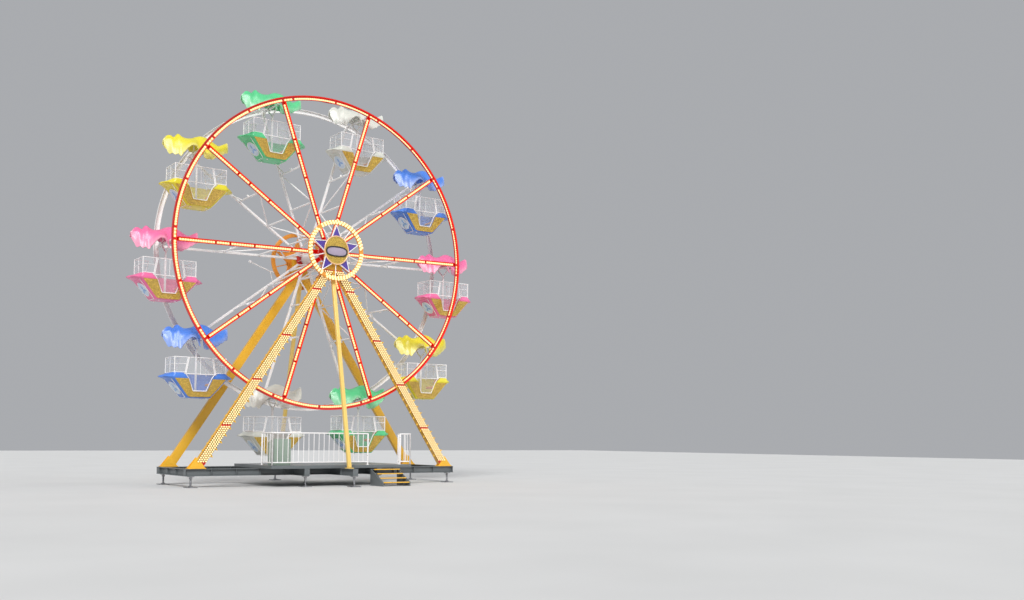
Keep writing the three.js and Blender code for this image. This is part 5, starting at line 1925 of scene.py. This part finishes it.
def steps_shape():
    made = Shape()
    reach = STEP_COUNT * STEP_DEEP
    cheek = [(0, 0), (-reach, 0), (-reach, RISE), (0, STEP_COUNT * RISE)]
    for start in (STEP_X, STEP_X + STEPS_WIDE - CHEEK_PLATE):
        faces = (start, start + CHEEK_PLATE)
        made.add(lofted([[Vector((x, STEPS_BACK + y, z)) for y, z in cheek] for x in faces]))
    return made


def treads():
    made, nosings = Shape(), Shape()
    x0, x1 = STEP_X + CHEEK_PLATE + AIR, STEP_X + STEPS_WIDE - CHEEK_PLATE - AIR
    for k in range(STEP_COUNT):
        back, top = STEPS_BACK - STEP_DEEP * k, RISE * (STEP_COUNT - k)
        front = back - STEP_DEEP
        made.add(block((x0, front + 0.012, top - 0.035), (x1, back - 0.004, top)))
        nosings.add(block((x0, front, top - 0.036), (x1, front + NOSING_WIDE, top + 0.002)))
    return made, nosings


tread_shape, nosing_shape = treads()
piece("deck_panels", mesh_of(deck_panels(), 0.002), tread, "frame", "deck_plate", "deck")
piece("deck_edges", mesh_of(deck_edges(), 0.002), chassis_paint, "frame", "grey_steel", "deck")
piece("steps_cheeks", mesh_of(steps_shape(), 0.003), chassis_paint, "frame", "grey_steel", "steps")
piece("steps_treads", mesh_of(tread_shape, 0.003), tread, "frame", "deck_plate", "steps")
piece("steps_nosings", mesh_of(nosing_shape, 0.004), yellow_paint, "frame", "yellow_steel", "steps")

# %% [markdown]
# The railings are white, with a picket every twenty centimetres, too close for a child to slip through.
# The pickets are one line of points with a round bar on each. Posts and rails are tube, on flat feet.

# %% Railings
RAIL_FRONT, RAIL_SIDE, RAIL_BACK = DECK_FRONT + 0.04, DECK_HALF - 0.04, -1.75
RAIL_FOOT, RAIL_TOP, LOWER_RAIL_Z = DECK_TOP + 0.0003, DECK_TOP + 1.2, 0.11
POST_RADIUS, HANDRAIL_RADIUS, LOWER_RAIL_RADIUS, PICKET_RADIUS = 0.029, 0.025, 0.020, 0.0125
PICKET_PITCH = 0.2
picket = rod([(0, 0, RAIL_FOOT + 0.12), (0, 0, RAIL_TOP - 0.03)], PICKET_RADIUS, 10)


def railing(path):
    """Rails, posts and feet along a path of corner points."""
    made = Shape()
    lines = []
    for start, end in zip(path, path[1:]):
        start, end = Vector((*start, 0)), Vector((*end, 0))
        way = (end - start).normalized()
        lines.append([start + way * PICKET_PITCH, end - way * PICKET_PITCH])
        lower = [p + Vector((0, 0, RAIL_FOOT + LOWER_RAIL_Z)) for p in (start, end)]
        made.add(rod(lower, LOWER_RAIL_RADIUS, 12))
        for at in (start, end):
            post = [at + Vector((0, 0, RAIL_FOOT)), at + Vector((0, 0, RAIL_TOP - 0.02))]
            made.add(rod(post, POST_RADIUS, 16))
            low = (at.x - 0.055, at.y - 0.039, RAIL_FOOT)
            made.add(block(low, (at.x + 0.039, at.y + 0.055, RAIL_FOOT + 0.010)))
    top = [Vector((x, y, RAIL_TOP - HANDRAIL_RADIUS)) for x, y in path]
    made.add(rod(top, HANDRAIL_RADIUS, 14, (0, 0, 1)))
    return combined(mesh_of(made, 0.002), repeated_along(lines, picket, PICKET_PITCH, white_paint))


TO_STEPS = 0.1
left_end, right_end = STEP_X - TO_STEPS, STEP_X + STEPS_WIDE + TO_STEPS
left_path = [(left_end, RAIL_FRONT), (-RAIL_SIDE, RAIL_FRONT), (-RAIL_SIDE, RAIL_BACK)]
right_path = [(right_end, RAIL_FRONT), (RAIL_SIDE, RAIL_FRONT), (RAIL_SIDE, RAIL_BACK)]
piece("left_railing_bars", railing(left_path), white_paint, "frame", "white_steel", "left_railing")
piece("right_railing_bars", railing(right_path), white_paint, "frame", "white_steel", "right_railing")

# %% [markdown]
# The ride is run from a small steel desk at the front corner. Its sloping top has two rows of plain
# buttons and the red mushroom button that every ride must have.

# %% Control desk
DESK_X, DESK_Y, DESK_WIDE = -2.78, RAIL_FRONT + 0.09, 0.68
DESK_FOOT = DECK_TOP + 0.0003
BUTTON = [(0, 0), (0.022, 0), (0.022, 0.006), (0.016, 0.008), (0.015, 0.018), (0, 0.019)]
MUSHROOM = [(0, 0), (0.018, 0), (0.018, 0.018), (0.036, 0.022), (0.038, 0.032), (0.026, 0.042), (0, 0.044)]
# Each row of buttons: how many, and how far down the slope.
BUTTON_ROWS = ((5, 0.35), (4, 0.70))
BUTTON_START, BUTTON_PITCH = 0.10, 0.08


def desk_plan(y, z):
    return Vector((DESK_X, DESK_Y + y, DESK_FOOT + z))


desk_side = [(0, 0), (0.48, 0), (0.48, 0.82), (0.12, 0.96), (0, 0.96)]
across = Vector((1, 0, 0))
desk = lofted([[desk_plan(y, z) + across * dx for y, z in desk_side] for dx in (0, DESK_WIDE)])
door_frame = block(desk_plan(0.478, 0.08) + across * 0.06, desk_plan(0.486, 0.74) + across * 0.62)
door_frame.add(block(desk_plan(0.485, 0.40) + across * 0.55, desk_plan(0.505, 0.50) + across * 0.58))
piece("control_desk_body", mesh_of(desk, 0.012), cabinet_paint, "frame", "green_steel", "control_desk")
piece("control_desk_door", mesh_of(door_frame, 0.003), cabinet_paint, "frame", "green_steel")

slope_start, slope_end = desk_plan(0.12, 0.96), desk_plan(0.48, 0.82)
slope_up = Vector((0, (slope_start - slope_end).z, (slope_end - slope_start).y)).normalized()


def on_slope(along, share):
    return slope_start.lerp(slope_end, share) + across * along


places = []
for count, share in BUTTON_ROWS:
    places += [(on_slope(BUTTON_START + BUTTON_PITCH * k, share), slope_up) for k in range(count)]
buttons = repeated_on(places, turned(BUTTON, (0, 0, 0), (0, 0, 1), 16), yellow_paint)
piece("control_desk_buttons", buttons, yellow_paint, "frame", "yellow_steel")
stop = turned(MUSHROOM, on_slope(0.58, 0.5), slope_up, 24)
piece("control_desk_stop", mesh_of(stop), red_paint, "frame", "red_steel")

# %% [markdown]
# The ride is shown on a plain pale floor in a studio, as a model would be. One broad light from behind
# the camera models the forms, and a weaker one from the other side keeps the shadows open.

# %% Light and floor
world = bpy.data.worlds.new("studio")
world.use_nodes = True
world.node_tree.nodes["Background"].inputs["Color"].default_value = (0.40, 0.41, 0.43, 1)
bpy.context.scene.world = world
bpy.context.scene.view_settings.view_transform = "Standard"


def sun(name, strength, angle, way):
    light = bpy.data.lights.new(name, "SUN")
    light.energy = strength
    light.angle = math.radians(angle)
    made = bpy.data.objects.new(name, light)
    made.rotation_mode = "QUATERNION"
    made.rotation_quaternion = Vector((0, 0, -1)).rotation_difference(Vector(way))
    bpy.context.scene.collection.objects.link(made)


sun("key", 2.7, 25, (0.55, 0.75, -0.8))
sun("fill", 0.9, 60, (-0.8, 0.4, -0.3))


def studio_floor(build, place):
    cloud = build.noise(place, 0.3, 2)
    pale = build.mix(cloud, (0.62, 0.62, 0.61), (0.70, 0.70, 0.69))
    return {"Base Color": pale, "Roughness": cloud * 0.1 + 0.7}


FLOOR_HALF, FLOOR_THICK, FLOOR_DROP = 90, 0.1, 0.002
floor_low = (-FLOOR_HALF, -FLOOR_HALF, -FLOOR_THICK)
floor_mesh = mesh_of(block(floor_low, (FLOOR_HALF, FLOOR_HALF, -FLOOR_DROP)))
floor_mesh.materials.append(finish("studio_floor", studio_floor))
linked("floor", floor_mesh)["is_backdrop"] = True

# %% [markdown]
# The dressed ride must not be larger than the plain one, or the two would no longer fit the same place.
# Here the box of everything shown is measured.

# %% Size
low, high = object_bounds()
